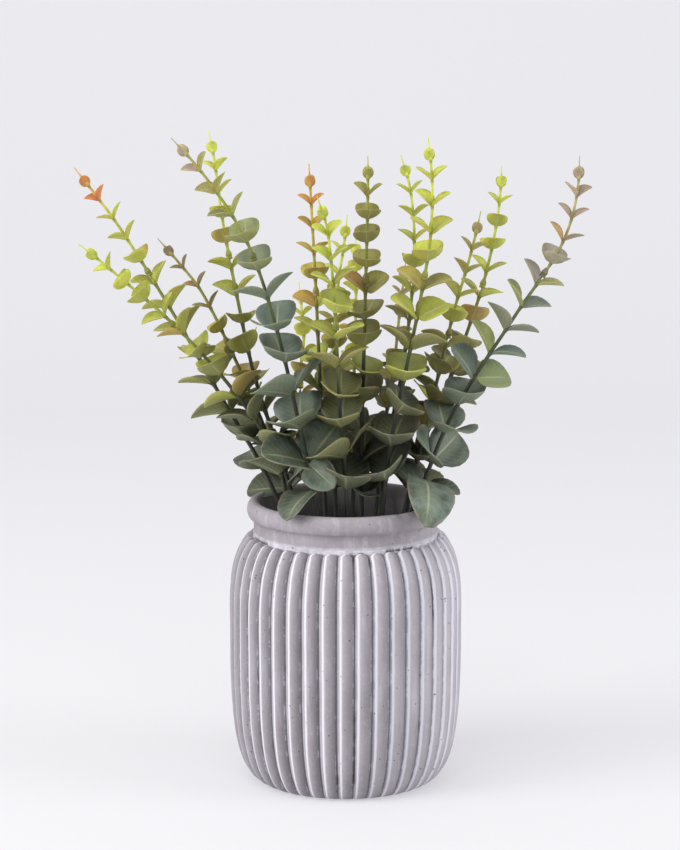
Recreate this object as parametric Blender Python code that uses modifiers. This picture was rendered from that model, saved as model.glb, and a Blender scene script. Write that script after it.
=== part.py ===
"""Artificial eucalyptus: seventeen wired leafy stems in a ribbed cement pot.

Metres, +Z up, origin at the centre of the face the pot rests on. Each branch is a
lower stem pushed into the foam and a moulded sprig plugged on its ball-ended peg.
"""

import math

import bmesh
import bpy
from mathutils import Matrix, Vector
from mathutils.bvhtree import BVHTree

MM = 0.001
GAP = 0.35 * MM  # between pieces that lie against each other

# Pot
POT_HEIGHT = 160 * MM
POT_RADIUS = 65.2 * MM  # on a rib's crest, where the pot is widest
WIDEST_AT = 0.6  # of the pot's height
FOOT_RADIUS = 46 * MM
NECK_RADIUS = 51.8 * MM
NECK_DROP = 18 * MM  # from the top of the lip to the foot of the neck
LIP_HEIGHT = 10.5 * MM
LIP_WIDTH = 8 * MM
WALL = 9 * MM
FLOOR = 10 * MM
RIB_COUNT = 40
RIB_DEPTH = 1.5 * MM

# Foam plug
FOAM_DROP = 32 * MM  # from the top of the lip to the foam
FOAM_HOLE_DEPTH = 22 * MM

# Crown
CROWN_RADIUS = 150 * MM  # the branches' reach from the pot's axis
CROWN_HEIGHT = 210 * MM  # the highest tip above the lip
STEM_RADIUS = 1.65 * MM  # at the foam
STEM_TIP_RADIUS = 0.8 * MM
STEM_SIDES_RESOLUTION = 1  # six sides
STEM_STEP = 18 * MM

# Plugged joint between a lower stem and its sprig
BALL_RADIUS = 0.9 * MM
PEG_NECK_RADIUS = 0.5 * MM
SOCKET_RADIUS = BALL_RADIUS + GAP
COLLAR_WALL = 0.55 * MM
SOCKET_BELOW = 1.8 * MM  # the socket's mouth, below the ball's centre
SOCKET_ABOVE = 1.5 * MM
COLLAR_ABOVE = 3.6 * MM
SHOULDER_DROP = 3.2 * MM  # where the lower stem's shoulder starts
SHOULDER_LENGTH = 1.2 * MM
COLLAR_OVER_PAIR = 7.5 * MM

# Leaves
SPEAR_LENGTH = 13 * MM  # from the tip to the bud's own small pair
BUD_LEAF = 7.5 * MM
LEAF_SCALE = 1.1  # on every branch's own leaf lengths
SPRIG_PAIRS = 4  # below the bud
PITCH_GROWTH = 0.045  # of the first spacing, per pair
TIP_BREADTH = 1.2  # a leaf's width over its length, below the bud
BASE_BREADTH = 0.92
BUD_BREADTH = 0.8
ROLL = 42.0  # the most a leaf near the base is rolled about its midrib, degrees
LEAF_THICKNESS = 0.9 * MM
LEAF_CLEARANCE = 0.45 * MM
STALK_DEPTH = 0.8 * MM  # how far a leaf's stalk runs into the stem
SMALL_LEAF = 18 * MM  # leaves shorter than this have two rings, not three
LOWEST_PAIR = 2 * MM  # above the lip
DROOP = 0.13  # of a leaf's length, at its tip
TURN_OF = {"S": 0.0, "D": 45.0, "F": 90.0}  # sideways, diagonal, front to back
TURNS_TRIED = (0, 10, -10, 20, -20, 32, -32, 45, -45, 60, -60, 75, -75, 90)
SIZES_TRIED = (1.0, 0.88, 0.76, 0.64)

TINTS = {
    "orange": (0.42, 0.26, 0.05),
    "lime": (0.42, 0.50, 0.08),
    "purple": (0.26, 0.22, 0.15),
    "grey": (0.24, 0.29, 0.20),
    "olive": (0.22, 0.25, 0.07),
    "blue": (0.10, 0.17, 0.13),
}
CEMENT = (0.45, 0.42, 0.43)
FOAM = (0.05, 0.06, 0.045)

# Each branch: foot on the foam, points it passes through and its tip (millimetres, heights
# above the lip), the first spacing of its pairs, its leaves' length at tip and base, the
# pairs' turns from the tip down, and its tint.
BRANCHES = {
    "01": ((-24, 4), [(-48, 5, 20), (-71, 6, 60), (-97, 8, 106), (-126, 10, 153),
           (-150, 11, 185)], 12.5, (7.2, 24), "SSSFSSSFSSFFDF", "orange"),
    "02": ((-27, -12), [(-37, -15, 22), (-55, -18, 56), (-87, -21, 95), (-120, -24, 126),
           (-145, -26, 147)], 12.0, (8, 23), "SFFSSFFSSFFDF", "lime"),
    "03": ((-20, 19), [(-48, 24, 42), (-64, 27, 79), (-81, 31, 113), (-97, 34, 133),
           (-106, 36, 143)], 12.5, (7, 22), "SSSFSFDFDFF", "purple"),
    "04": ((-13, -26), [(-18, -31, 12), (-27, -36, 57), (-36, -42, 98), (-51, -50, 147),
           (-72, -56, 183), (-92, -61, 207)], 14.0, (8.5, 31), "SSSFFSFFDFFDF", "grey"),
    "05": ((-21, 11), [(-36, 15, 20), (-51, 20, 66), (-61, 27, 111), (-69, 33, 153),
           (-74, 38, 189), (-77, 41, 203)], 12.5, (8, 22), "SSFFSSSFDFFDF", "lime"),
    "06": ((-10, -6), [(-13, -8, 30), (-14, -9, 64), (-16, -9, 113), (-18, -10, 153),
           (-20, -10, 189)], 12.5, (7.5, 22), "SSSFSSFDFFDF", "orange"),
    "07": ((2, -28), [(0, -33, 16), (-3, -39, 56), (-6, -50, 119), (-10, -57, 160),
           (-15, -61, 176)], 13.0, (8.5, 27), "SSSFSSFFDFFD", "lime"),
    "08": ((-5, 16), [(-7, 17, 50), (-5, 18, 110), (0, 20, 147), (1, 21, 158)],
           12.0, (8, 18), "SSFSFSFDFF", "lime"),
    "09": ((9, -8), [(9, -14, 44), (10, -17, 80), (11, -22, 125), (12, -27, 166),
           (12, -31, 195)], 12.0, (8.5, 25), "SFFFSFFFFDFFD", "olive"),
    "10": ((17, 10), [(24, 14, 30), (32, 19, 71), (38, 25, 121), (38, 30, 158),
           (34, 34, 182), (31, 36, 190)], 12.5, (8, 21), "SSSFSSFDFFDF", "lime"),
    "11": ((18, -22), [(23, -28, 25), (30, -31, 64), (40, -36, 115), (46, -40, 155),
           (46, -43, 188), (44, -46, 206)], 13.5, (9, 27), "SSSFSSSFFDFFD", "lime"),
    "12": ((28, 18), [(42, 21, 22), (56, 25, 58), (63, 27, 75), (78, 32, 119), (86, 37, 157),
           (88, 41, 184)], 12.0, (7.5, 24), "SFFSSFFSSDFFD", "lime"),
    "13": ((29, 3), [(41, 4, 25), (51, 6, 66), (61, 7, 108), (69, 9, 135), (75, 10, 161)],
           12.5, (8, 24), "SSSFSFFDFFDF", "purple"),
    "14": ((26, -15), [(44, -16, 15), (61, -19, 56), (93, -24, 108), (118, -27, 148),
           (126, -29, 181), (126, -31, 195)], 12.0, (8, 27), "SSSFSSSSSFFDFF", "grey"),
    "15": ((-12, 25), [(-24, 36, 25), (-26, 48, 60), (-24, 60, 82), (-26, 72, 104),
           (-27, 77, 113)], 11.0, (6.5, 15), "SFSFSFSFSF", "lime"),
    "16": ((4, 27), [(5, 42, 30), (5, 58, 70), (6, 68, 100), (6, 83, 140)],
           11.5, (6.5, 16), "FSFSFSFSFSF", "lime"),
    "17": ((16, 26), [(22, 40, 30), (28, 52, 70), (31, 60, 96), (35, 71, 127)],
           11.5, (6.5, 16), "SFSFSFSFSF", "olive"),
}


# Leaves that hang over the pot's lip: height of the stalk above the lip, the way it points
# (degrees from +X), its lean from the stem, its length and its droop.
RIM_LEAVES = {
    "04": (10 * MM, -128.0, 84.0, 27 * MM, 0.34),
    "14": (13 * MM, -78.0, 78.0, 36 * MM, 0.62),
}


def clear_scene():
    for obj in list(bpy.data.objects):
        bpy.data.objects.remove(obj, do_unlink=True)


def new_collection(name):
    collection = bpy.data.collections.new(name)
    bpy.context.scene.collection.children.link(collection)
    return collection


def material(name, color, roughness=0.6):
    made = bpy.data.materials.new(name)
    made.use_nodes = True
    shader = made.node_tree.nodes["Principled BSDF"]
    shader.inputs["Base Color"].default_value = (*color, 1.0)
    shader.inputs["Roughness"].default_value = roughness
    shader.inputs["Metallic"].default_value = 0.0
    return made


def link_mesh(name, mesh, collection):
    obj = bpy.data.objects.new(name, mesh)
    collection.objects.link(obj)
    return obj


def baked(obj, weld=None):
    """Replaces an object by the mesh it evaluates to, its loose caps welded."""
    graph = bpy.context.evaluated_depsgraph_get()
    mesh = bpy.data.meshes.new_from_object(obj.evaluated_get(graph))
    if weld:
        bm = bmesh.new()
        bm.from_mesh(mesh)
        bmesh.ops.remove_doubles(bm, verts=bm.verts, dist=weld)
        bmesh.ops.recalc_face_normals(bm, faces=bm.faces)
        bm.to_mesh(mesh)
        bm.free()
    name, matrix, collection = obj.name, obj.matrix_world.copy(), obj.users_collection[0]
    bpy.data.objects.remove(obj, do_unlink=True)
    made = link_mesh(name, mesh, collection)
    made.matrix_world = matrix
    return made


def boolean(obj, other, operation):
    modifier = obj.modifiers.new(other.name, "BOOLEAN")
    modifier.operation = operation
    modifier.solver = "EXACT"
    modifier.object = other


def smooth(obj, angle=35.0):
    obj.data.shade_smooth()
    obj.data.set_sharp_from_angle(angle=math.radians(angle))


# Pot and foam


def pot_radius(z):
    """A rib's crest at a height, between the resting face and the foot of the neck."""
    widest = WIDEST_AT * POT_HEIGHT
    if z < widest:
        share = (1 - (1 - z / widest) ** 4) ** (1 / 2.1)
        return FOOT_RADIUS + (POT_RADIUS - FOOT_RADIUS) * share
    up = min(1.0, (z - widest) / (POT_HEIGHT - NECK_DROP - widest))
    return NECK_RADIUS + (POT_RADIUS - NECK_RADIUS) * (1 - up**3) ** 0.68


def lip_points(angles):
    """Points round the lip's oval section, from its outer foot over the top."""
    middle, half = NECK_RADIUS - 0.6 * MM, LIP_HEIGHT / 2
    return [
        (middle + LIP_WIDTH / 2 * math.cos(math.radians(a)),
         POT_HEIGHT - half + half * math.sin(math.radians(a)))
        for a in angles
    ]


def cavity_rows():
    """(radius, height) up the inside of the body's wall."""
    neck = POT_HEIGHT - NECK_DROP
    rows = [(pot_radius(FLOOR) - WALL - 5 * MM, FLOOR)]
    for share in (0.08, 0.5, 0.86):
        z = FLOOR + share * (neck - FLOOR)
        rows.append((pot_radius(z) - WALL, z))
    return rows


def mouth_radius():
    return lip_points([180])[0][0]


def inside_rows():
    """(radius, height) up the whole inside of the wall, to the foot of the lip."""
    return [*cavity_rows(), (mouth_radius(), POT_HEIGHT - NECK_DROP - 3 * MM)]


def inside_radius(z):
    """Radius of the pot's inside at a height between the floor and the lip."""
    rows = inside_rows()
    for (r, low), (wider, high) in zip(rows, rows[1:]):
        if z <= high:
            return r + (wider - r) * (z - low) / (high - low)
    return rows[-1][0]


def turned(name, profile, steps, collection):
    """A solid of revolution whose profile runs down its outer side."""
    mesh = bpy.data.meshes.new(name)
    edges = [(i, i + 1) for i in range(len(profile) - 1)]
    mesh.from_pydata([(r, 0.0, z) for r, z in profile], edges, [])
    obj = link_mesh(name, mesh, PARTS)
    screw = obj.modifiers.new("turn", "SCREW")
    screw.steps = screw.render_steps = steps
    screw.use_merge_vertices = True
    screw.merge_threshold = 0.00001
    made = baked(obj)
    PARTS.objects.unlink(made)
    collection.objects.link(made)
    return made


def groove_depth(z):
    """How far the groove between two ribs lies in: none on the foot and at the neck."""
    neck = POT_HEIGHT - NECK_DROP
    if z < 1 * MM or z > neck - 1 * MM:
        return 0.0
    return RIB_DEPTH * (1.5 if z > neck - 6 * MM else 1.0)


def make_pot():
    neck = POT_HEIGHT - NECK_DROP
    inside = [(0.0, FLOOR), *inside_rows()]
    over = lip_points([180, 115, 65, 10, -45])
    heights = [neck, neck - 4 * MM, neck - 11 * MM, neck - 24 * MM]
    heights += [share * POT_HEIGHT for share in (0.5, 0.23, 0.09, 0.022)]
    throat = [(NECK_RADIUS, POT_HEIGHT - LIP_HEIGHT + 0.5 * MM), (NECK_RADIUS, neck + 2 * MM)]
    outside = [*throat, *[(pot_radius(z), z) for z in heights]]
    profile = [*inside, *over, *outside, (FOOT_RADIUS, 0.0), (0.0, 0.0)]
    pot = turned("pot", profile, 2 * RIB_COUNT, PARTS)
    for vertex in pot.data.vertices:
        x, y, z = vertex.co
        radius = math.hypot(x, y)
        step = round(math.atan2(y, x) / (math.pi / RIB_COUNT))
        if step % 2 and radius > pot_radius(min(z, neck)) - 0.1 * MM and z < neck:
            vertex.co.xy *= 1 - groove_depth(z) / radius
    pot.data.materials.append(material("cement", CEMENT, 0.85))
    smooth(pot, 30)
    return pot


def make_foam(pot, branches):
    rows = [(r - GAP, z) for r, z in cavity_rows()]
    top = POT_HEIGHT - FOAM_DROP
    below = [row for row in rows if row[1] < top - 4 * MM]
    below[0] = (below[0][0], FLOOR + GAP)
    profile = [(0.0, top), (inside_radius(top) - 1.5 * GAP, top), *reversed(below)]
    foam = turned("foam_plug", [*profile, (0.0, FLOOR + GAP)], 32, PARTS)
    for branch in branches:
        ends = (-FOAM_HOLE_DEPTH, 4 * MM)
        hole = tube(f"hole_{branch.name}", [branch.at(s)[0] for s in ends],
                    [STEM_RADIUS + 2 * GAP] * 2, CUTTERS)
        boolean(foam, hide(hole), "DIFFERENCE")
    foam.data.materials.append(material("foam", FOAM, 0.95))
    foam.parent = pot
    return foam


# Branches


def tube(name, points, radii, collection):
    """A tube through points, with a radius at each and closed ends."""
    curve = bpy.data.curves.new(name, "CURVE")
    curve.dimensions = "3D"
    curve.bevel_depth = MM
    curve.bevel_resolution = STEM_SIDES_RESOLUTION
    curve.use_fill_caps = True
    spline = curve.splines.new("POLY")
    spline.points.add(len(points) - 1)
    for point, place, radius in zip(spline.points, points, radii):
        point.co = (*place, 1.0)
        point.radius = radius / curve.bevel_depth
    obj = bpy.data.objects.new(name, curve)
    collection.objects.link(obj)
    return baked(obj, weld=0.000001)


def hide(cutter):
    cutter.hide_render = True
    cutter.display_type = "WIRE"
    return cutter


def tree_of(obj):
    """(centre, radius, tree) of an object's mesh, to test other pieces against."""
    points = [obj.matrix_world @ v.co for v in obj.data.vertices]
    return obstacle(points, [tuple(p.vertices) for p in obj.data.polygons])


def obstacle(points, faces):
    low = Vector(map(min, zip(*points)))
    high = Vector(map(max, zip(*points)))
    return (low + high) / 2, (high - low).length / 2, BVHTree.FromPolygons(points, faces)


def touches(one, others):
    for centre, radius, tree in others:
        if (centre - one[0]).length < radius + one[1] and one[2].overlap(tree):
            return True
    return False


class Branch:
    """A branch's smooth path, from its foot on the foam (0) to its tip (length)."""

    def __init__(self, name, foot, through, pitch, leaves, turns, tint):
        self.name, self.turns, self.tint = name, turns, tint
        self.pitch, self.leaves = pitch * MM, [size * MM for size in leaves]
        mouth = mouth_radius() / 47.2
        wide, tall = CROWN_RADIUS / 150, CROWN_HEIGHT / 210
        knots = [Vector((foot[0] * mouth, foot[1] * mouth, POT_HEIGHT - FOAM_DROP))]
        for x, y, z in through:
            spread = mouth if z < 30 else wide
            knots.append(Vector((x * spread, y * spread, POT_HEIGHT + z * tall)))
        self.samples, self.marks = evenly(smooth_path(knots, 14), STEM_STEP)
        self.length = self.marks[-1]

    def at(self, s):
        """Place and direction at a distance from the foot, straight on past both ends."""
        i = next((k for k, mark in enumerate(self.marks[1:-1]) if s < mark), len(self.marks) - 2)
        a, b = self.samples[i], self.samples[i + 1]
        share = (s - self.marks[i]) / (self.marks[i + 1] - self.marks[i])
        return a.lerp(b, share), (b - a).normalized()

    def between(self, start, end):
        """Distances of the path's own points between two others, and those two."""
        near = 2.5 * MM
        return [start, *[m for m in self.marks if start + near < m < end - near], end]

    def radius(self, s):
        share = min(1.0, max(0.0, s / self.length))
        return STEM_RADIUS + (STEM_TIP_RADIUS - STEM_RADIUS) * share

    def pair_places(self):
        """Distances from the foot of the bud's pair and of each pair below it."""
        places = [self.length - SPEAR_LENGTH]
        for i in range(len(self.turns)):
            lower = places[-1] - self.pitch * (0.8 if i == 0 else 1 + PITCH_GROWTH * i)
            if self.at(lower)[0].z < POT_HEIGHT + LOWEST_PAIR:
                break
            places.append(lower)
        return places


def smooth_path(knots, steps):
    """A Catmull-Rom curve through the knots."""
    ends = [2 * knots[0] - knots[1], *knots, 2 * knots[-1] - knots[-2]]
    path = []
    for a, b, c, d in zip(ends, ends[1:], ends[2:], ends[3:]):
        for i in range(steps):
            t = i / steps
            path.append(0.5 * (2 * b + (c - a) * t + (2 * a - 5 * b + 4 * c - d) * t**2
                               + (3 * b - 3 * c + d - a) * t**3))
    return [*path, knots[-1]]


def lengths_along(points):
    marks = [0.0]
    for a, b in zip(points, points[1:]):
        marks.append(marks[-1] + (b - a).length)
    return marks


def evenly(points, step):
    """Points about a step apart along a path, with their distances from its start."""
    marks = lengths_along(points)
    count = round(marks[-1] / step)
    made, i = [points[0]], 0
    for k in range(1, count):
        wanted = marks[-1] * k / count
        while marks[i + 1] < wanted:
            i += 1
        made.append(points[i].lerp(points[i + 1], (wanted - marks[i]) / (marks[i + 1] - marks[i])))
    made.append(points[-1])
    return made, lengths_along(made)


def blade_template(rings):
    """A coarse ball's corners as (ring from the stem, side, lift), with its faces."""
    bm = bmesh.new()
    bmesh.ops.create_uvsphere(bm, u_segments=4, v_segments=rings + 1, radius=1.0)
    corners = []
    for vertex in bm.verts:
        polar = math.acos(max(-1.0, min(1.0, vertex.co.z)))
        ring = round(polar * (rings + 1) / math.pi)
        reach = max(math.sin(polar), 0.01)
        ends = ring in (0, rings + 1)
        side, lift = (0, 0) if ends else (vertex.co.x / reach, vertex.co.y / reach)
        corners.append((ring, round(side), round(lift)))
    faces = [tuple(v.index for v in face.verts) for face in bm.faces]
    bm.free()
    return corners, faces


BLADES = {2: (((0.0, 0.34, 0.76, 1.0), (0, 1.0, 0.9, 0)), blade_template(2)),
          3: (((0.0, 0.24, 0.55, 0.85, 1.0), (0, 0.68, 1.0, 0.7, 0)), blade_template(3))}


def blade(place, along, out, lean, roll, length, width, grow=0.0, droop=DROOP):
    """One cupped leaf from its stalk, leaning out from the stem and rolled on its midrib."""
    rings = 2 if length < SMALL_LEAF else 3
    (spans, widths), (corners, faces) = BLADES[rings]
    aim = math.cos(lean) * along + math.sin(lean) * out
    up = (along - along.dot(aim) * aim).normalized()
    up = math.cos(roll) * up + math.sin(roll) * up.cross(aim)
    side = aim.cross(up)
    points = []
    for ring, across, lift in corners:
        share, broad = spans[ring], widths[ring]
        reach = (length + grow) * share
        cup = 0.17 * width * broad * abs(across) - droop * length * share**2
        thick = (LEAF_THICKNESS / 2 * (1.1 - 0.5 * share) + grow) * lift
        half = (width / 2 + grow) * broad * across
        points.append(place + aim * reach + side * half + up * (cup + thick))
    return points, faces


def pair(branch, s, turn, lean, roll, length, width, grow=0.0):
    """The two opposite leaves of a pair, each as (points, faces)."""
    place, along = branch.at(s)
    across = (Vector((1, 0, 0)) - along.x * along).normalized()
    front = along.cross(across)
    angle = math.radians(turn)
    out = math.cos(angle) * across + math.sin(angle) * front
    stalk = out * (branch.radius(s) - STALK_DEPTH)
    return [blade(place + stalk * way, along, out * way, lean, roll * way, length, width, grow)
            for way in (1, -1)]


def fitted_pair(branch, s, index, count, obstacles):
    """The first turn and size tried at which a pair is clear, or up to two single leaves."""
    share = index / max(1, count)
    wanted = 90.0 if index == 0 else TURN_OF[branch.turns[index - 1]]
    number = int(branch.name)
    wanted += 14 * math.sin(2.4 * index + 1.7 * number)
    small, large = (LEAF_SCALE * size for size in branch.leaves)
    length = BUD_LEAF if index == 0 else small + (large - small) * share**1.25
    breadth = BUD_BREADTH if index == 0 else TIP_BREADTH + (BASE_BREADTH - TIP_BREADTH) * share
    spread = 40 + 18 * min(1.0, 1.6 * share) + 14 * share * math.sin(3.1 * index + 0.9 * number)
    lean = math.radians(20 if index == 0 else spread)
    roll = math.radians(ROLL * share * math.sin(1.9 * index + 2.3 * number))
    for size in SIZES_TRIED:
        for turn in TURNS_TRIED:
            shape = (lean, roll, length * size, length * size * breadth)
            grown = pair(branch, s, wanted + turn, *shape, grow=LEAF_CLEARANCE)
            if not any(touches(obstacle(*leaf), obstacles) for leaf in grown):
                return pair(branch, s, wanted + turn, *shape)
    found, taken = [], list(obstacles)
    for size in (SIZES_TRIED[1], SIZES_TRIED[-1]):
        shape = (lean, roll, length * size, length * size * 0.8)
        for turn in range(0, 360, 15):
            grown = pair(branch, s, wanted + turn, *shape, grow=LEAF_CLEARANCE)
            if len(found) < 2 and not touches(obstacle(*grown[0]), taken):
                found.append(pair(branch, s, wanted + turn, *shape)[0])
                taken.append(obstacle(*found[-1]))
    return found


def rim_leaf(branch, obstacles):
    """The branch's leaf over the pot's lip, as low on the stem as it is clear."""
    rise, turn, lean, length, droop = RIM_LEAVES[branch.name]
    out = Vector((math.cos(math.radians(turn)), math.sin(math.radians(turn)), 0.0))
    s = 0.0
    while branch.at(s)[0].z < POT_HEIGHT + rise:
        s += 0.5 * MM
    for _ in range(20):
        place, along = branch.at(s)
        across = (out - out.dot(along) * along).normalized()
        stalk = place + across * (branch.radius(s) - STALK_DEPTH)
        shape = (stalk, along, across, math.radians(lean), 0.0, length, length * 0.8)
        if not touches(obstacle(*blade(*shape, LEAF_CLEARANCE, droop)), obstacles):
            return [blade(*shape, 0.0, droop)]
        s += 1 * MM
    return []


def joined(name, shapes, collection):
    """One mesh object of many closed shapes."""
    bm = bmesh.new()
    for points, faces in shapes:
        corners = [bm.verts.new(point) for point in points]
        for face in faces:
            bm.faces.new([corners[i] for i in face])
    bmesh.ops.recalc_face_normals(bm, faces=bm.faces)
    mesh = bpy.data.meshes.new(name)
    bm.to_mesh(mesh)
    bm.free()
    return link_mesh(name, mesh, collection)


def lower_tube(branch, ball):
    """The lower stem's tube, from inside the foam to the ball on its peg."""
    shoulder = ball - SHOULDER_DROP - SHOULDER_LENGTH
    marks = [GAP - FOAM_HOLE_DEPTH, *branch.between(0.0, shoulder)]
    radii = [branch.radius(s) for s in marks]
    for s, radius in (
        (ball - SHOULDER_DROP, PEG_NECK_RADIUS),
        (ball - BALL_RADIUS, PEG_NECK_RADIUS),
        (ball - 0.4 * BALL_RADIUS, BALL_RADIUS * 0.95),
        (ball + 0.4 * BALL_RADIUS, BALL_RADIUS * 0.95),
        (ball + BALL_RADIUS, BALL_RADIUS * 0.35),
    ):
        marks.append(s)
        radii.append(radius)
    points = [branch.at(s)[0] for s in marks]
    return tube(f"lower_stem_{branch.name}", points, radii, PARTS)


def upper_tube(branch, ball):
    """The sprig's tube: a collar round the ball, a thin stem and the bud's spear."""
    collar = SOCKET_RADIUS + COLLAR_WALL
    top = branch.length
    marks = [ball - SOCKET_BELOW, ball + COLLAR_ABOVE - 1.2 * MM, ball + COLLAR_ABOVE]
    radii = [collar, collar, branch.radius(ball)]
    for s in branch.between(ball + COLLAR_ABOVE, top - SPEAR_LENGTH)[1:]:
        marks.append(s)
        radii.append(branch.radius(s))
    for share, radius in ((0.35, 1.05 * MM), (1.0, 0.25 * MM)):
        marks.append(top - SPEAR_LENGTH * (1 - share))
        radii.append(radius)
    points = [branch.at(s)[0] for s in marks]
    return tube(f"upper_sprig_{branch.name}", points, radii, PARTS)


def settle(obj, origin, parent):
    """Moves an object's origin to a point of the world, under its parent."""
    shift = Matrix.Translation(-origin)
    obj.data.transform(shift)
    for modifier in obj.modifiers:
        modifier.object.data.transform(shift)
        modifier.object.location = origin
    obj.location = origin - (parent.matrix_world.translation if parent else Vector())
    obj.parent = parent
    bpy.context.view_layer.update()


def make_branches(pot, foam, branches):
    tubes = {}
    for branch in branches:
        places = branch.pair_places()
        branch.ball = places[min(SPRIG_PAIRS + 1, len(places) - 1)] + COLLAR_OVER_PAIR
        tubes[branch.name] = lower_tube(branch, branch.ball), upper_tube(branch, branch.ball)
    solid = {name: [tree_of(obj) for obj in both] for name, both in tubes.items()}
    placed = [tree_of(pot)]
    hanging = {}
    for branch in branches:
        if branch.name in RIM_LEAVES:
            other_tubes = [t for name, both in solid.items() if name != branch.name for t in both]
            hanging[branch.name] = rim_leaf(branch, placed + other_tubes)
            placed += [obstacle(*leaf) for leaf in hanging[branch.name]]
    for branch in branches:
        places = branch.pair_places()
        other_tubes = [t for name, both in solid.items() if name != branch.name for t in both]
        leaves = list(hanging.get(branch.name, [])), []
        for index, s in enumerate(places):
            is_upper = s > branch.ball
            own = [solid[branch.name][0 if is_upper else 1]]
            found = fitted_pair(branch, s, index, len(places), placed + other_tubes + own)
            placed += [obstacle(*leaf) for leaf in found]
            leaves[is_upper].extend(found)
        lower, upper = tubes[branch.name]
        color = material(f"leaves_{branch.name}", TINTS[branch.tint], 0.55)
        ball = branch.at(branch.ball)
        for obj, shapes in ((lower, leaves[0]), (upper, leaves[1])):
            obj.data.materials.append(color)
            if shapes:
                boolean(obj, hide(joined(f"{obj.name}_leaves", shapes, CUTTERS)), "UNION")
        ends = [ball[0] + ball[1] * reach for reach in (-2 * SOCKET_BELOW, SOCKET_ABOVE)]
        bore = tube(f"socket_{branch.name}", ends, [SOCKET_RADIUS] * 2, CUTTERS)
        boolean(upper, hide(bore), "DIFFERENCE")
        settle(lower, branch.at(0.0)[0], foam)
        settle(upper, ball[0], lower)


clear_scene()
PARTS = new_collection("artificial_eucalyptus")
CUTTERS = new_collection("cutters")
CUTTERS.hide_render = True
ALL_BRANCHES = [Branch(name, *row) for name, row in BRANCHES.items()]
POT = make_pot()
FOAM_PLUG = make_foam(POT, ALL_BRANCHES)
make_branches(POT, FOAM_PLUG, ALL_BRANCHES)
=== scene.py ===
"""Looks of an artificial eucalyptus in a ribbed, white-washed cement pot.

Seventeen wired branches stand in a foam plug. Each is a lower stalk fixed in the foam and
a sprig that bends at its collar. Sizes are metres in the frame of the solid parts, with
the pot standing on z = 0.
"""

import logging
import math
import random
from dataclasses import dataclass, field, replace
from enum import Enum
from typing import Any, Sequence

import bmesh
import bpy
import numpy as np
from mathutils import Matrix, Vector


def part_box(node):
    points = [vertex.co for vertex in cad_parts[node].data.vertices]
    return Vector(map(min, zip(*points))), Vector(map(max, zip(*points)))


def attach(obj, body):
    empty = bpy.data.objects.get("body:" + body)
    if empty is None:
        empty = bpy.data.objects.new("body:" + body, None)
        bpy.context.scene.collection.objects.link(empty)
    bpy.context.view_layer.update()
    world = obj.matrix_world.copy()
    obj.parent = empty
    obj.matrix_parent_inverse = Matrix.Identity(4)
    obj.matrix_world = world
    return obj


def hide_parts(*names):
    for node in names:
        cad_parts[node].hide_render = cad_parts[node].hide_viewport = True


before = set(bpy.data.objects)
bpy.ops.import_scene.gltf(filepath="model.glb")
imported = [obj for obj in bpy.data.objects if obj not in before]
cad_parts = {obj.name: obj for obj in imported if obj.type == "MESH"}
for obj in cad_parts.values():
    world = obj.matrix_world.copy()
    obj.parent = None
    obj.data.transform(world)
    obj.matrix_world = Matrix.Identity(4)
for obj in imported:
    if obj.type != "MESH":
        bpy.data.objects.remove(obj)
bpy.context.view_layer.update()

log = logging.getLogger("eucalyptus")

MM = 0.001
ROOT_BODY = "planted_pot"

Color = tuple[float, float, float]


def linear(red: int, green: int, blue: int) -> Color:
    """Turns a screen colour into scene-linear light.

    Args:
        red: Red, 0 to 255.
        green: Green, 0 to 255.
        blue: Blue, 0 to 255.

    Returns:
        The same colour in linear light, 0 to 1.
    """
    shares = (value / 255 for value in (red, green, blue))
    return tuple(s / 12.92 if s <= 0.04045 else ((s + 0.055) / 1.055) ** 2.4 for s in shares)


def blended(first: Color, second: Color, share: float) -> Color:
    """Mixes two colours.

    Args:
        first: Colour at share 0.
        second: Colour at share 1.
        share: How much of the second.

    Returns:
        The mixed colour.
    """
    return tuple(a + (b - a) * share for a, b in zip(first, second))


# Node trees


class Signal:
    """A node's output that takes part in arithmetic."""

    def __init__(self, wiring: "Wiring", socket: bpy.types.NodeSocket) -> None:
        """Keeps the socket and the tree it is in."""
        self.wiring, self.socket = wiring, socket

    def _math(self, operation: str, *values: Any) -> "Signal":
        """Adds one Math node."""
        return self.wiring.node("ShaderNodeMath", {"operation": operation}, dict(enumerate(values)))

    def __add__(self, other: Any) -> "Signal":
        """self + other."""
        return self._math("ADD", self, other)

    def __radd__(self, other: Any) -> "Signal":
        """other + self."""
        return self._math("ADD", other, self)

    def __sub__(self, other: Any) -> "Signal":
        """self - other."""
        return self._math("SUBTRACT", self, other)

    def __rsub__(self, other: Any) -> "Signal":
        """other - self."""
        return self._math("SUBTRACT", other, self)

    def __mul__(self, other: Any) -> "Signal":
        """self * other."""
        return self._math("MULTIPLY", self, other)

    def __rmul__(self, other: Any) -> "Signal":
        """other * self."""
        return self._math("MULTIPLY", other, self)

    def __truediv__(self, other: Any) -> "Signal":
        """self / other."""
        return self._math("DIVIDE", self, other)

    def __pow__(self, other: Any) -> "Signal":
        """self ** other."""
        return self._math("POWER", self, other)

    def __abs__(self) -> "Signal":
        """The size of self."""
        return self._math("ABSOLUTE", self)

    def fraction(self) -> "Signal":
        """What is left of self over its whole number."""
        return self._math("FRACT", self)

    def ramp(self, low: float, high: float) -> "Signal":
        """Smooth step of self.

        Args:
            low: Value that gives 0.
            high: Value that gives 1, above or below low.

        Returns:
            A share from 0 to 1.
        """
        return self.wiring.node(
            "ShaderNodeMapRange",
            {"interpolation_type": "SMOOTHSTEP"},
            {"Value": self, "From Min": low, "From Max": high},
        )

    def band(self, low: float, middle: float, high: float) -> "Signal":
        """A share that rises from low to middle and falls again to high."""
        return self.ramp(low, middle) * self.ramp(high, middle)


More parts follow.
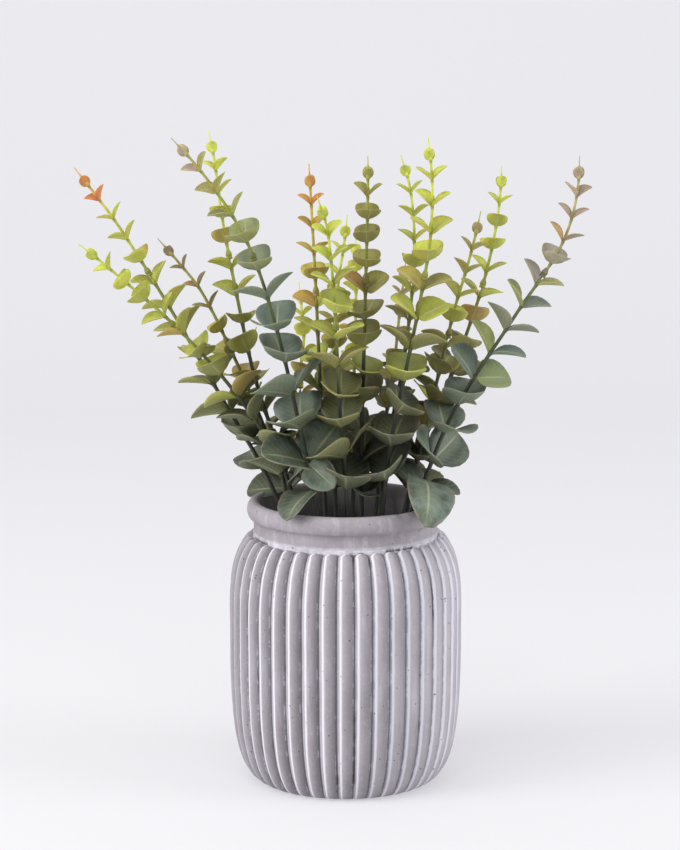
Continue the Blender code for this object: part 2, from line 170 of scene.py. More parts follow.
class Wiring:
    """Adds nodes to a tree."""

    def __init__(self, tree: bpy.types.NodeTree) -> None:
        """Keeps the tree."""
        self.tree = tree

    def node(
        self,
        kind: str,
        settings: dict[str, Any] | None = None,
        inputs: dict[Any, Any] | None = None,
        output: Any = 0,
    ) -> Signal:
        """Adds one node.

        Args:
            kind: The node's type.
            settings: Its own properties, set first.
            inputs: Values or signals by socket name, identifier or number.
            output: Name, identifier or number of the output wanted.

        Returns:
            That output.
        """
        made = self.tree.nodes.new(kind)
        for name, value in (settings or {}).items():
            setattr(made, name, value)
        for key, value in (inputs or {}).items():
            socket = self._find(made.inputs, key)
            if isinstance(value, Signal):
                self.tree.links.new(value.socket, socket)
            else:
                socket.default_value = value
        return Signal(self, self._find(made.outputs, output))

    @staticmethod
    def _find(sockets: Any, key: Any) -> bpy.types.NodeSocket:
        """Finds a socket by number, identifier or name."""
        if isinstance(key, int):
            return sockets[key]
        return next((s for s in sockets if s.identifier == key), None) or sockets[key]


class Paint(Wiring):
    """One procedural material."""

    def __init__(self, name: str, **constants: Any) -> None:
        """Starts a material.

        Args:
            name: The material's name.
            constants: Fixed values of the shader's sockets, spaces written as underscores.
        """
        self.material = bpy.data.materials.new(name)
        self.material.use_nodes = True
        super().__init__(self.material.node_tree)
        self.shader = self.tree.nodes["Principled BSDF"]
        for key, value in constants.items():
            self.shader.inputs[key.replace("_", " ")].default_value = value

    def place(self) -> Signal:
        """Where a point lies on the object."""
        return self.node("ShaderNodeTexCoord", output="Object")

    def attribute(self, name: str, output: str = "Fac") -> Signal:
        """A named attribute of the mesh."""
        return self.node("ShaderNodeAttribute", {"attribute_name": name}, output=output)

    def noise(self, where: Signal, scale: float, detail: float = 3.0, rough: float = 0.55) -> Signal:
        """Cloudy noise of about 0.5.

        Args:
            where: Coordinates.
            scale: Blotches per metre.
            detail: Finer layers added.
            rough: Strength of the finer layers.

        Returns:
            The noise's value.
        """
        inputs = {"Vector": where, "Scale": scale, "Detail": detail, "Roughness": rough}
        return self.node("ShaderNodeTexNoise", {}, inputs)

    def cells(self, where: Signal, scale: float) -> Signal:
        """Distance to the nearest of many scattered points, in cells."""
        return self.node("ShaderNodeTexVoronoi", {}, {"Vector": where, "Scale": scale})

    def stretched(self, where: Signal, factors: Color) -> Signal:
        """Coordinates multiplied by one factor along each axis."""
        return self.node("ShaderNodeVectorMath", {"operation": "MULTIPLY"}, {0: where, 1: factors})

    def mix(self, share: Any, first: Any, second: Any, mode: str = "MIX") -> Signal:
        """Mixes two colours.

        Args:
            share: How much of the second.
            first: A colour or signal.
            second: A colour or signal.
            mode: How the second is laid over the first.

        Returns:
            The mixed colour.
        """
        first, second = (
            (*value, 1.0) if isinstance(value, tuple) else value for value in (first, second)
        )
        return self.node(
            "ShaderNodeMix",
            {"data_type": "RGBA", "blend_type": mode},
            {"Factor_Float": share, "A_Color": first, "B_Color": second},
            "Result_Color",
        )

    def feed(self, **signals: Signal) -> None:
        """Links signals to the shader's sockets, spaces written as underscores."""
        for key, signal in signals.items():
            self.tree.links.new(signal.socket, self.shader.inputs[key.replace("_", " ")])

    def bump(self, height: Signal, depth: float) -> None:
        """Roughens the surface.

        Args:
            height: Height in units of depth.
            depth: Metres.
        """
        normal = self.node("ShaderNodeBump", {}, {"Strength": 1.0, "Distance": depth, "Height": height})
        self.feed(Normal=normal)


class Recipe(Wiring):
    """A Geometry Nodes tree with named inputs."""

    def __init__(self, name: str, **inputs: str) -> None:
        """Starts a tree.

        Args:
            name: The tree's name.
            inputs: Socket type by input name, spaces written as underscores.
        """
        super().__init__(bpy.data.node_groups.new(name, "GeometryNodeTree"))
        sockets = self.tree.interface
        sockets.new_socket("Geometry", in_out="INPUT", socket_type="NodeSocketGeometry")
        for key, kind in inputs.items():
            label = key.replace("_", " ")
            sockets.new_socket(label, in_out="INPUT", socket_type=f"NodeSocket{kind}")
        sockets.new_socket("Geometry", in_out="OUTPUT", socket_type="NodeSocketGeometry")
        self.source = self.tree.nodes.new("NodeGroupInput")

    def given(self, name: str) -> Signal:
        """One of the tree's inputs."""
        return Signal(self, self.source.outputs[name])

    def named(self, name: str, kind: str, output: str = "Attribute") -> Signal:
        """A named attribute of the geometry."""
        return self.node("GeometryNodeInputNamedAttribute", {"data_type": kind}, {"Name": name}, output)

    def finish(self, geometry: Signal, material: Signal) -> None:
        """Ends the tree: real meshes, smooth, in one material."""
        real = self.node("GeometryNodeRealizeInstances", {}, {"Geometry": geometry})
        smooth = self.node("GeometryNodeSetShadeSmooth", {}, {"Geometry": real})
        dressed = self.node("GeometryNodeSetMaterial", {}, {"Geometry": smooth, "Material": material})
        end = self.tree.nodes.new("NodeGroupOutput")
        self.tree.links.new(dressed.socket, end.inputs["Geometry"])

    def mesh(self, name: str, start: bpy.types.Mesh, **values: Any) -> bpy.types.Mesh:
        """Runs the tree on a mesh.

        Args:
            name: Name of the result.
            start: The mesh the tree starts from.
            values: The tree's inputs, spaces written as underscores.

        Returns:
            A plain mesh.
        """
        carrier = bpy.data.objects.new(f"{name}_carrier", start)
        bpy.context.scene.collection.objects.link(carrier)
        modifier = carrier.modifiers.new("recipe", "NODES")
        modifier.node_group = self.tree
        for item in self.tree.interface.items_tree:
            key = item.name.replace(" ", "_")
            if item.in_out == "INPUT" and key in values:
                modifier[item.identifier] = values[key]
        bpy.context.view_layer.update()
        graph = bpy.context.evaluated_depsgraph_get()
        made = bpy.data.meshes.new_from_object(carrier.evaluated_get(graph))
        made.name = name
        bpy.data.objects.remove(carrier, do_unlink=True)
        return made


# Small mesh tools


def shown(name: str, mesh: bpy.types.Mesh, body: str, slot: str, *nodes: str) -> bpy.types.Object:
    """Puts a finished mesh in the scene.

    Args:
        name: The piece's name.
        mesh: Its mesh, in the shared frame.
        body: The body it moves with.
        slot: The name of a material slot; not used.
        nodes: The solid parts it stands for.

    Returns:
        The piece.
    """
    piece = bpy.data.objects.new(name, mesh)
    bpy.context.scene.collection.objects.link(piece)
    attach(piece, body)
    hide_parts(*nodes)
    log.info("%s: %d faces on %s", name, len(mesh.polygons), body)
    return piece


def write_attribute(mesh: bpy.types.Mesh, name: str, kind: str, values: Any) -> None:
    """Stores one value per point.

    Args:
        mesh: The mesh.
        name: The attribute's name.
        kind: FLOAT, INT or FLOAT_VECTOR.
        values: One value or vector per point.
    """
    made = mesh.attributes.new(name, kind, "POINT")
    flat = np.asarray(values, dtype=np.int32 if kind == "INT" else np.float32).ravel()
    made.data.foreach_set("vector" if kind == "FLOAT_VECTOR" else "value", flat)


def tidied(mesh: bpy.types.Mesh, weld: float = 1e-6) -> bpy.types.Mesh:
    """Merges doubled points and turns every face outwards."""
    bm = bmesh.new()
    bm.from_mesh(mesh)
    bmesh.ops.remove_doubles(bm, verts=bm.verts, dist=weld)
    bmesh.ops.recalc_face_normals(bm, faces=bm.faces)
    bm.to_mesh(mesh)
    bm.free()
    return mesh


# Colours of leaves and stalks


class Shade(Enum):
    """Moulded leaf colours, as seen on screen."""

    FLAME = (206, 110, 52)
    AMBER = (200, 168, 58)
    BRIGHT_LIME = (206, 212, 70)
    LIME = (192, 202, 66)
    MOSS = (164, 166, 60)
    OLIVE = (136, 132, 58)
    KHAKI = (152, 136, 90)
    PLUM = (134, 112, 98)
    BLUSH = (172, 152, 132)
    SLATE = (86, 106, 96)
    DARK = (54, 64, 46)
    DEEP = (38, 46, 34)
    UNDER = (176, 178, 120)
    RUST = (182, 116, 50)
    EDGE = (150, 130, 96)

    @property
    def light(self) -> Color:
        """The colour in linear light."""
        return linear(*self.value)


@dataclass(frozen=True)
class Ageing:
    """How a branch's leaves change colour from its tip to its foot."""

    tip: Shade
    upper: Shade
    middle: Shade
    foot: Shade
    bloom: float = 0.25

    def color(self, share: float) -> Color:
        """The colour at a share of the way down from the tip."""
        stops = ((0.0, self.tip), (0.16, self.upper), (0.52, self.middle), (0.86, self.foot))
        for (low, first), (high, second) in zip(stops, stops[1:]):
            if share <= high:
                return blended(first.light, second.light, (share - low) / (high - low))
        return self.foot.light


@dataclass(frozen=True)
class LeafFinish:
    """Moulded leaf: veins, pale rim, paler underside and a grey bloom."""

    vein_count: float = 8.0
    vein_slant: float = 2.4
    under: Shade = Shade.UNDER
    rim: Shade = Shade.EDGE
    bloom: Color = linear(150, 168, 158)

    def material(self) -> bpy.types.Material:
        """Builds the material."""
        paint = Paint("leaf_skin", Subsurface_Weight=0.12, Subsurface_Scale=0.002)
        where = paint.place()
        chart = paint.node("ShaderNodeUVMap", {"uv_map": "leaf_uv"})
        across = paint.node("ShaderNodeSeparateXYZ", {}, {0: chart}, "X")
        along = paint.node("ShaderNodeSeparateXYZ", {}, {0: chart}, "Y")
        side = abs(across * 2.0 - 1.0)
        under = paint.attribute("underside")
        blotch = paint.noise(where, 130, 4)
        fine = paint.noise(where, 900, 2)
        midrib = side.ramp(0.09, 0.015) * along.ramp(1.02, 0.7)
        phase = (along * self.vein_count - side * self.vein_slant).fraction()
        veins = abs(phase - 0.5).ramp(0.13, 0.02) * side.ramp(1.0, 0.8) * along.ramp(0.06, 0.2)
        rim = side.ramp(0.86, 0.98) * along.ramp(0.1, 0.3)
        own = paint.attribute("leaf_color", "Color")
        paler = paint.mix(0.5, own, (0.75, 0.78, 0.45))
        color = paint.mix(blotch.ramp(0.35, 0.68) * 0.24, own, (0.02, 0.03, 0.008), "MULTIPLY")
        color = paint.mix(side.ramp(0.75, 0.1) * 0.18, color, paler)
        color = paint.mix(midrib * 0.6, color, paler)
        color = paint.mix(veins * 0.15, color, paler)
        color = paint.mix(rim * blotch * 0.55, color, self.rim.light)
        color = paint.mix(under * 0.16, color, self.under.light)
        bloom = paint.attribute("bloom") * blotch.ramp(0.2, 0.75)
        color = paint.mix(bloom * 0.62, color, self.bloom)
        roughness = 0.46 + fine * 0.16 + under * 0.16 + bloom * 0.18
        paint.feed(Base_Color=color, Roughness=roughness)
        paint.bump(midrib * -0.9 + veins * -0.35 + fine * 0.25, 0.25 * MM)
        return paint.material


@dataclass(frozen=True)
class StalkFinish:
    """Moulded wire cover: smooth, mottled, ringed at each pair of leaves."""

    scar: Color = linear(96, 84, 58)

    def material(self) -> bpy.types.Material:
        """Builds the material."""
        paint = Paint("stalk_skin", Roughness=0.5)
        where = paint.place()
        streak = paint.noise(paint.stretched(where, (1.0, 1.0, 0.2)), 900, 3)
        blotch = paint.noise(where, 160, 3)
        own = paint.attribute("stalk_color", "Color")
        color = paint.mix(blotch.ramp(0.4, 0.7) * 0.35, own, (0.25, 0.25, 0.15), "MULTIPLY")
        color = paint.mix(paint.attribute("node_ring") * 0.55, color, self.scar)
        paint.feed(Base_Color=color, Roughness=0.42 + streak * 0.3)
        paint.bump(streak + blotch, 0.15 * MM)
        return paint.material


@dataclass(frozen=True)
class CementFinish:
    """Raw mauve-grey cement, white wash left along the ribs' edges, painted shade in the grooves.

    Each rib has painted light on its left flank and painted shade on its right. The wash line,
    made brighter as a painted highlight on each rib's lit left edge, lies nearer a rib's crest
    the further that rib stands to the left, and the ribs far out on either side are paler with
    painted light; the places are distances from the middle.
    """

    raw: Color = linear(158, 151, 158)
    warm: Color = linear(142, 135, 140)
    # White wash colour; it also serves as painted light on the ribs' left flanks and far ribs, and as the
    # painted highlight of the crisp line.
    wash: Color = linear(218, 216, 225)
    # Colour of the painted shade on the ribs' right flanks and in the groove bottoms.
    painted_shade: Color = linear(98, 97, 104)
    pit: Color = linear(64, 60, 58)
    shift_from: float = 50 * MM
    shift_to: float = -65 * MM
    shift: float = 0.5
    # Painted light on the ribs far out to either side: where it starts, where it is full, and how strong.
    far_light_from: float = 25 * MM
    far_light_to: float = 60 * MM
    far_light: float = 0.14

    def far_rib_light(self, turned: Signal) -> Signal:
        """How much painted light a rib takes that stands far out to either side."""
        return abs(turned).ramp(self.far_light_from, self.far_light_to) * self.far_light

    def material(self) -> bpy.types.Material:
        """Builds the material."""
        paint = Paint("washed_cement", Specular_IOR_Level=0.25)
        where = paint.place()
        edge = paint.attribute("rib_edge")
        ribbed = paint.attribute("ribbed")
        tone = paint.attribute("rib_tone")
        side = paint.attribute("rib_side")
        collar = paint.attribute("wash")
        turned = paint.node("ShaderNodeSeparateXYZ", {}, {0: where}, "X")
        cloud = paint.noise(where, 28, 4, 0.6)
        grain = paint.noise(where, 420, 5, 0.7)
        streak = paint.noise(paint.stretched(where, (1.0, 1.0, 0.12)), 190, 5, 0.65)
        broken = paint.noise(where, 120, 5, 0.75)
        ragged = edge + (broken - 0.5) * 0.22
        color = paint.mix(cloud.ramp(0.35, 0.7), self.raw, self.warm)
        color = paint.mix((tone - 0.5) * 0.2 + 0.1, color, self.warm)
        color = paint.mix(grain.ramp(0.5, 0.8) * 0.22, color, self.wash)
        color = paint.mix(streak.ramp(0.52, 0.7) * 0.16, color, self.wash)
        # Painted light: each rib's left flank lighter, as if lit from the left.
        color = paint.mix(ribbed * side.ramp(0.3, -0.9) * 0.22, color, self.wash)
        # Painted light: the ribs far out to either side paler.
        color = paint.mix(ribbed * self.far_rib_light(turned), color, self.wash)
        # Painted shade: each rib's right flank darker.
        color = paint.mix(ribbed * side.ramp(-0.3, 0.95) * 0.55, color, self.painted_shade)
        # Painted shade: the groove bottoms darker, except under the neck's wash.
        floor = ribbed * edge.ramp(0.1, -0.05) * collar.ramp(0.3, 0.1)
        color = paint.mix(floor * 0.8, color, self.painted_shade)
        # The crisp line on each rib's left edge only is partly real white wash and partly painted
        # highlight on the lit edge; it shifts with the rib's place across the view.
        inward = turned.ramp(self.shift_from, self.shift_to) * self.shift
        crisp_wash_and_highlight = side.ramp(0.1, -0.1) * (ragged * 0.5 + edge * 0.5 - inward).band(0.0, 0.18, 0.5)
        crisp_wash_and_highlight = crisp_wash_and_highlight * broken.ramp(0.16, 0.4)
        rough = ragged.band(0.0, 0.1, 0.26) * broken.ramp(0.48, 0.58)
        line = ribbed * (crisp_wash_and_highlight + rough * 0.45).ramp(0.0, 1.0)
        color = paint.mix(line * 0.96, color, self.wash)
        rubbed = (collar + (broken - 0.5) * 1.1 * collar).ramp(0.2, 0.6)
        color = paint.mix(rubbed * 0.7, color, self.wash)
        # Darker patches along the groove bottoms.
        groove_dark_patches = paint.noise(paint.stretched(where, (1.0, 1.0, 0.35)), 60, 3).ramp(0.58, 0.68)
        groove_dark_patches = groove_dark_patches * ribbed * ragged.ramp(0.16, 0.02)
        color = paint.mix(groove_dark_patches * 0.75, color, self.pit)
        holes = paint.cells(where, 330).ramp(0.2, 0.08) * paint.noise(where, 210, 2).ramp(0.56, 0.66)
        color = paint.mix(holes * 0.7, color, self.pit)
        paint.feed(Base_Color=color, Roughness=0.82 + grain * 0.16)
        paint.bump(grain * 0.5 + broken * 0.35 + line * 0.4 - holes * 2.2, 0.3 * MM)
        return paint.material


@dataclass(frozen=True)
class FoamFinish:
    """Dry florist's foam, crumbly and dark under the leaves."""

    top: Color = linear(62, 66, 48)
    dust: Color = linear(34, 36, 28)

    def material(self) -> bpy.types.Material:
        """Builds the material."""
        paint = Paint("florist_foam", Specular_IOR_Level=0.1)
        where = paint.place()
        crumbs = paint.cells(where, 600)
        cloud = paint.noise(where, 90, 4)
        color = paint.mix(cloud.ramp(0.3, 0.7), self.top, self.dust)
        paint.feed(Base_Color=paint.mix(crumbs * 0.8, color, self.dust), Roughness=0.9 + cloud * 0.1)
        paint.bump(crumbs * -1.0 + cloud, 0.8 * MM)
        return paint.material


@dataclass(frozen=True)
class StageFinish:
    """Plain pale studio paper that glows a little, so that it looks even."""

    color: Color = (0.36, 0.36, 0.365)
    glow: Color = (0.415, 0.412, 0.43)

    def material(self) -> bpy.types.Material:
        """Builds the material."""
        paint = Paint(
            "studio_paper", Roughness=0.9, Specular_IOR_Level=0.05,
            Emission_Color=(*self.glow, 1.0), Emission_Strength=1.0,
        )
        tooth = paint.noise(paint.place(), 260, 2)
        paler = blended(self.color, (1.0, 1.0, 1.0), 0.04)
        paint.feed(Base_Color=paint.mix(tooth * 0.5, self.color, paler))
        return paint.material


# Pot


@dataclass
class Dent:
    """A worn spot on the lip."""

    bearing: float
    height: float
    reach: float
    depth: float


@dataclass
class Pot:
    """Round-shouldered cement pot: forty ribs, a short neck and a rolled lip."""

    height: float = 160 * MM
    radius: float = 65.2 * MM
    widest_at: float = 0.6
    foot_radius: float = 46 * MM
    neck_radius: float = 51.8 * MM
    neck_drop: float = 18 * MM
    lip_height: float = 10.5 * MM
    lip_width: float = 8 * MM
    wall: float = 9 * MM
    floor: float = 10 * MM
    rib_count: int = 40
    rib_depth: float = 2.5 * MM
    groove_share: float = 0.05
    row_step: float = 2.3 * MM
    wobble: float = 0.55 * MM
    across: tuple[float, ...] = (0.0, 0.2, 0.4, 0.56, 0.69, 0.79, 0.85, 0.9, 0.95, 1.0)
    dents: list[Dent] = field(
        default_factory=lambda: [
            Dent(-54, 159 * MM, 5 * MM, 0.7 * MM),
            Dent(-118, 158.5 * MM, 5 * MM, 0.3 * MM),
            Dent(25, 158.5 * MM, 8 * MM, 0.4 * MM),
            Dent(150, 157 * MM, 6 * MM, 0.4 * MM),
        ]
    )

    def crest(self, z: float) -> float:
        """Radius of a rib's crest at a height."""
        widest = self.widest_at * self.height
        if z < widest:
            share = (1 - (1 - z / widest) ** 4) ** (1 / 2.1)
            return self.foot_radius + (self.radius - self.foot_radius) * share
        up = min(1.0, (z - widest) / (self.height - self.neck_drop - widest))
        return self.neck_radius + (self.radius - self.neck_radius) * (1 - up**3) ** 0.68

    def ribbed_rows(self) -> tuple[np.ndarray, np.ndarray, np.ndarray]:
        """Rows up the ribbed wall.

        Returns:
            Points (radius, height), outward normals, and each row's distance from the
            top of the wall.
        """
        neck = self.height - self.neck_drop
        share = np.linspace(0.0, 1.0, 3000)
        heights = neck * np.where(share < 0.5, 0.5 * (2 * share) ** 2.5, 1 - 0.5 * (2 - 2 * share) ** 2.5)
        points = np.array([(self.crest(z), z) for z in heights])
        marks = np.concatenate([[0.0], np.cumsum(np.hypot(*np.diff(points, axis=0).T))])
        total = marks[-1]
        fine, edge = 0.75 * MM, 8.5 * MM
        low = np.arange(0.0, edge, 1.3 * MM)
        high = np.arange(total - edge, total, fine)
        count = int((high[0] - low[-1]) / self.row_step)
        wanted = np.concatenate([low, np.linspace(low[-1], high[0], count + 1)[1:-1], high, [total]])
        rows = np.stack([np.interp(wanted, marks, points[:, k]) for k in (0, 1)], axis=1)
        ahead = np.stack([np.interp(wanted + 0.2 * MM, marks, points[:, k]) for k in (0, 1)], axis=1)
        behind = np.stack([np.interp(wanted - 0.2 * MM, marks, points[:, k]) for k in (0, 1)], axis=1)
        along = ahead - behind
        along /= np.linalg.norm(along, axis=1)[:, None]
        normals = np.stack([along[:, 1], -along[:, 0]], axis=1)
        return rows, normals, total - wanted

    def rib_height(self, edge: float) -> float:
        """A rib's height, as a share, at a share of the way in from its edge."""
        inner = min(1.0, max(0.0, edge))
        return (1 - (1 - inner) ** 2.1) ** 0.86

    def plain_rows(self) -> list[tuple[float, float]]:
        """(radius, height) from the neck's foot over the lip to the middle of the floor."""
        neck = self.height - self.neck_drop
        middle, half = self.neck_radius - 0.6 * MM, self.lip_height / 2
        waist = self.neck_radius - 0.4 * MM
        rows = [(self.neck_radius, neck + 0.4 * MM), (waist + 0.1 * MM, neck + 1.8 * MM)]
        rows += [(waist, neck + 4.5 * MM), (waist + 0.3 * MM, self.height - self.lip_height)]
        for angle in range(-64, 181, 11):
            turn = math.radians(angle)
            swell = abs(math.cos(turn)) ** 0.85 * math.copysign(1, math.cos(turn))
            rows.append((middle + self.lip_width / 2 * swell,
                         self.height - half + half * math.sin(turn)))
        mouth = middle - self.lip_width / 2
        rows += [(mouth, self.height - half - 4 * MM), (mouth, neck - 3 * MM)]
        for share in (0.94, 0.86, 0.7, 0.5, 0.3, 0.08):
            z = self.floor + share * (neck - self.floor)
            rows.append((self.crest(z) - self.wall, z))
        rows += [(self.crest(self.floor) - self.wall - 5 * MM, self.floor), (0.02, self.floor)]
        return rows

    def sector(self) -> bpy.types.Mesh:
        """One rib's slice of the whole wall, from the foot's middle to the floor's."""
        pitch = math.tau / self.rib_count
        half_width = math.pi * self.radius / self.rib_count
        across = [-a for a in reversed(self.across[1:])] + list(self.across)
        rows, normals, drops = self.ribbed_rows()
        points, edges, ribbed, wash, free, sides = [], [], [], [], [], []
        count = len(across)

        def add_row(places: Sequence[tuple[float, float, float]], rib: float, washed: float) -> None:
            """Adds one row of points (radius, height, edge)."""
            for a, (radius, z, edge) in zip(across, places):
                turn = a * pitch / 2 - math.pi / 2
                points.append((radius * math.cos(turn), radius * math.sin(turn), z))
                edges.append(edge)
                ribbed.append(rib)
                wash.append(washed)
                sides.append(a)
                settled = min(1.0, max(0.0, (z - 1.5 * MM) / (12 * MM)))
                free.append(settled * (1.0 if rib else 0.4))

        for radius in (0.012, 0.03, self.foot_radius - 2 * MM):
            add_row([(radius, 0.0, 1.0)] * count, 0.0, 0.0)
        for (radius, z), (out_r, out_z), drop in zip(rows, normals, drops):
            fade = min(1.0, max(0.0, (z - 0.3 * MM) / (7 * MM))) ** 0.6
            width = half_width * radius / self.radius
            places = []
            for a in across:
                side = width * (1 - self.groove_share) - abs(a) * width
                cap = drop - 1.0 * MM - width
                if cap < 0:
                    side = width * (1 - self.groove_share) - math.hypot(a * width, cap)
                edge = max(-0.3, side / width)
                sink = self.rib_depth * fade * (1 - self.rib_height(edge))
                places.append((radius - out_r * sink, z - out_z * sink, edge))
            add_row(places, 1.0, max(0.0, 1 - drop / (4 * MM)) * 0.5)
        for radius, z in self.plain_rows():
            inside = radius < self.neck_radius - 3 * MM
            neck = max(0.0, 1 - abs(z - self.height + self.neck_drop - 0.6 * MM) / (2.0 * MM)) * 0.42
            add_row([(radius, z, 1.0)] * count, 0.0, 0.0 if inside else max(0.04, neck))
        total = len(points) // count
        faces = []
        for row in range(total - 1):
            for k in range(count - 1):
                at = row * count + k
                faces.append((at, at + 1, at + count + 1, at + count))
        foot, inner = len(points), len(points) + 1
        points += [(0.0, 0.0, 0.0), (0.0, 0.0, self.floor)]
        layers = {
            "rib_edge": (edges, 1.0), "ribbed": (ribbed, 0.0), "wash": (wash, 0.0),
            "free": (free, 0.0), "rib_side": (sides, 0.0),
        }
        for values, last in layers.values():
            values += [last, last]
        top = (total - 1) * count
        for k in range(count - 1):
            faces.append((foot, k + 1, k))
            faces.append((inner, top + k, top + k + 1))
        mesh = bpy.data.meshes.new("rib_sector")
        mesh.from_pydata(points, [], faces)
        for name, (values, _) in layers.items():
            write_attribute(mesh, name, "FLOAT", values)
        return mesh

    def recipe(self) -> Recipe:
        """Geometry Nodes that turn one rib's slice into the whole pot."""
        made = Recipe("ribs_round", Ribs="Int", Wobble="Float", Seed="Int", Finish="Material")
        ribs = made.given("Ribs")
        spots = made.node("GeometryNodeMeshLine", {}, {"Count": ribs, "Offset": (0, 0, 0)})
        index = made.node("GeometryNodeInputIndex")
        spin = made.node("ShaderNodeCombineXYZ", {}, {"Z": index * math.tau / ribs})
        turn = made.node("FunctionNodeEulerToRotation", {}, {"Euler": spin})
        copies = made.node(
            "GeometryNodeInstanceOnPoints",
            {},
            {"Points": spots, "Instance": made.given("Geometry"), "Rotation": turn},
        )
        tone = made.node(
            "FunctionNodeRandomValue", {"data_type": "FLOAT"},
            {"ID": index, "Seed": made.given("Seed")}, "Value_001",
        )
        toned = made.node(
            "GeometryNodeStoreNamedAttribute", {"data_type": "FLOAT", "domain": "INSTANCE"},
            {"Geometry": copies, "Name": "rib_tone", "Value": tone},
        )
        real = made.node("GeometryNodeRealizeInstances", {}, {"Geometry": toned})
        whole = made.node("GeometryNodeMergeByDistance", {}, {"Geometry": real, "Distance": 1e-5})
        place = made.node("GeometryNodeInputPosition")
        slow = made.node("ShaderNodeTexNoise", {}, {"Vector": place, "Scale": 38.0, "Detail": 1.0})
        quick = made.node("ShaderNodeTexNoise", {}, {"Vector": place, "Scale": 230.0, "Detail": 2.0})
        amount = (slow + quick * 0.45 - 0.72) * made.given("Wobble") * made.named("free", "FLOAT")
        normal = made.node("GeometryNodeInputNormal")
        push = made.node(
            "ShaderNodeVectorMath", {"operation": "SCALE"}, {0: normal, "Scale": amount}
        )
        uneven = made.node("GeometryNodeSetPosition", {}, {"Geometry": whole, "Offset": push})
        made.finish(uneven, made.given("Finish"))
        return made

    def build(self, finish: bpy.types.Material) -> None:
        """Makes the pot.

        Args:
            finish: The cement's material.
        """
        mesh = self.recipe().mesh(
            "pot_ribbed", self.sector(), Ribs=self.rib_count, Wobble=self.wobble, Seed=4, Finish=finish
        )
        tidied(mesh)
        for dent in self.dents:
            turn = math.radians(dent.bearing)
            out = Vector((math.cos(turn), math.sin(turn), 0.0))
            spot = out * (self.neck_radius + 1 * MM) + Vector((0, 0, dent.height))
            for vertex in mesh.vertices:
                gap = (vertex.co - spot).length / dent.reach
                if gap < 1:
                    vertex.co -= (out * 0.5 + Vector((0, 0, 0.9))) * dent.depth * (1 - gap**2) ** 2
        shown("pot_ribbed", mesh, ROOT_BODY, "cement", "pot")


# Branches


@dataclass(frozen=True)
class BranchPlan:
    """One branch, in millimetres: route (heights above the lip), leaves and colours.

    A rim leaf has a height above the lip, a bearing, a lean from the stalk, a length and a
    droop. The seed and a share of the sprig's leaf size keep close neighbours apart.
    """

    name: str
    foot: tuple[float, float]
    through: tuple[tuple[float, float, float], ...]
    pitch: float
    leaves: tuple[float, float]
    pairs: int
    slot: str
    ageing: Ageing
    rim: tuple[float, ...] = ()
    seed: int = 0
    snug: float = 1.0


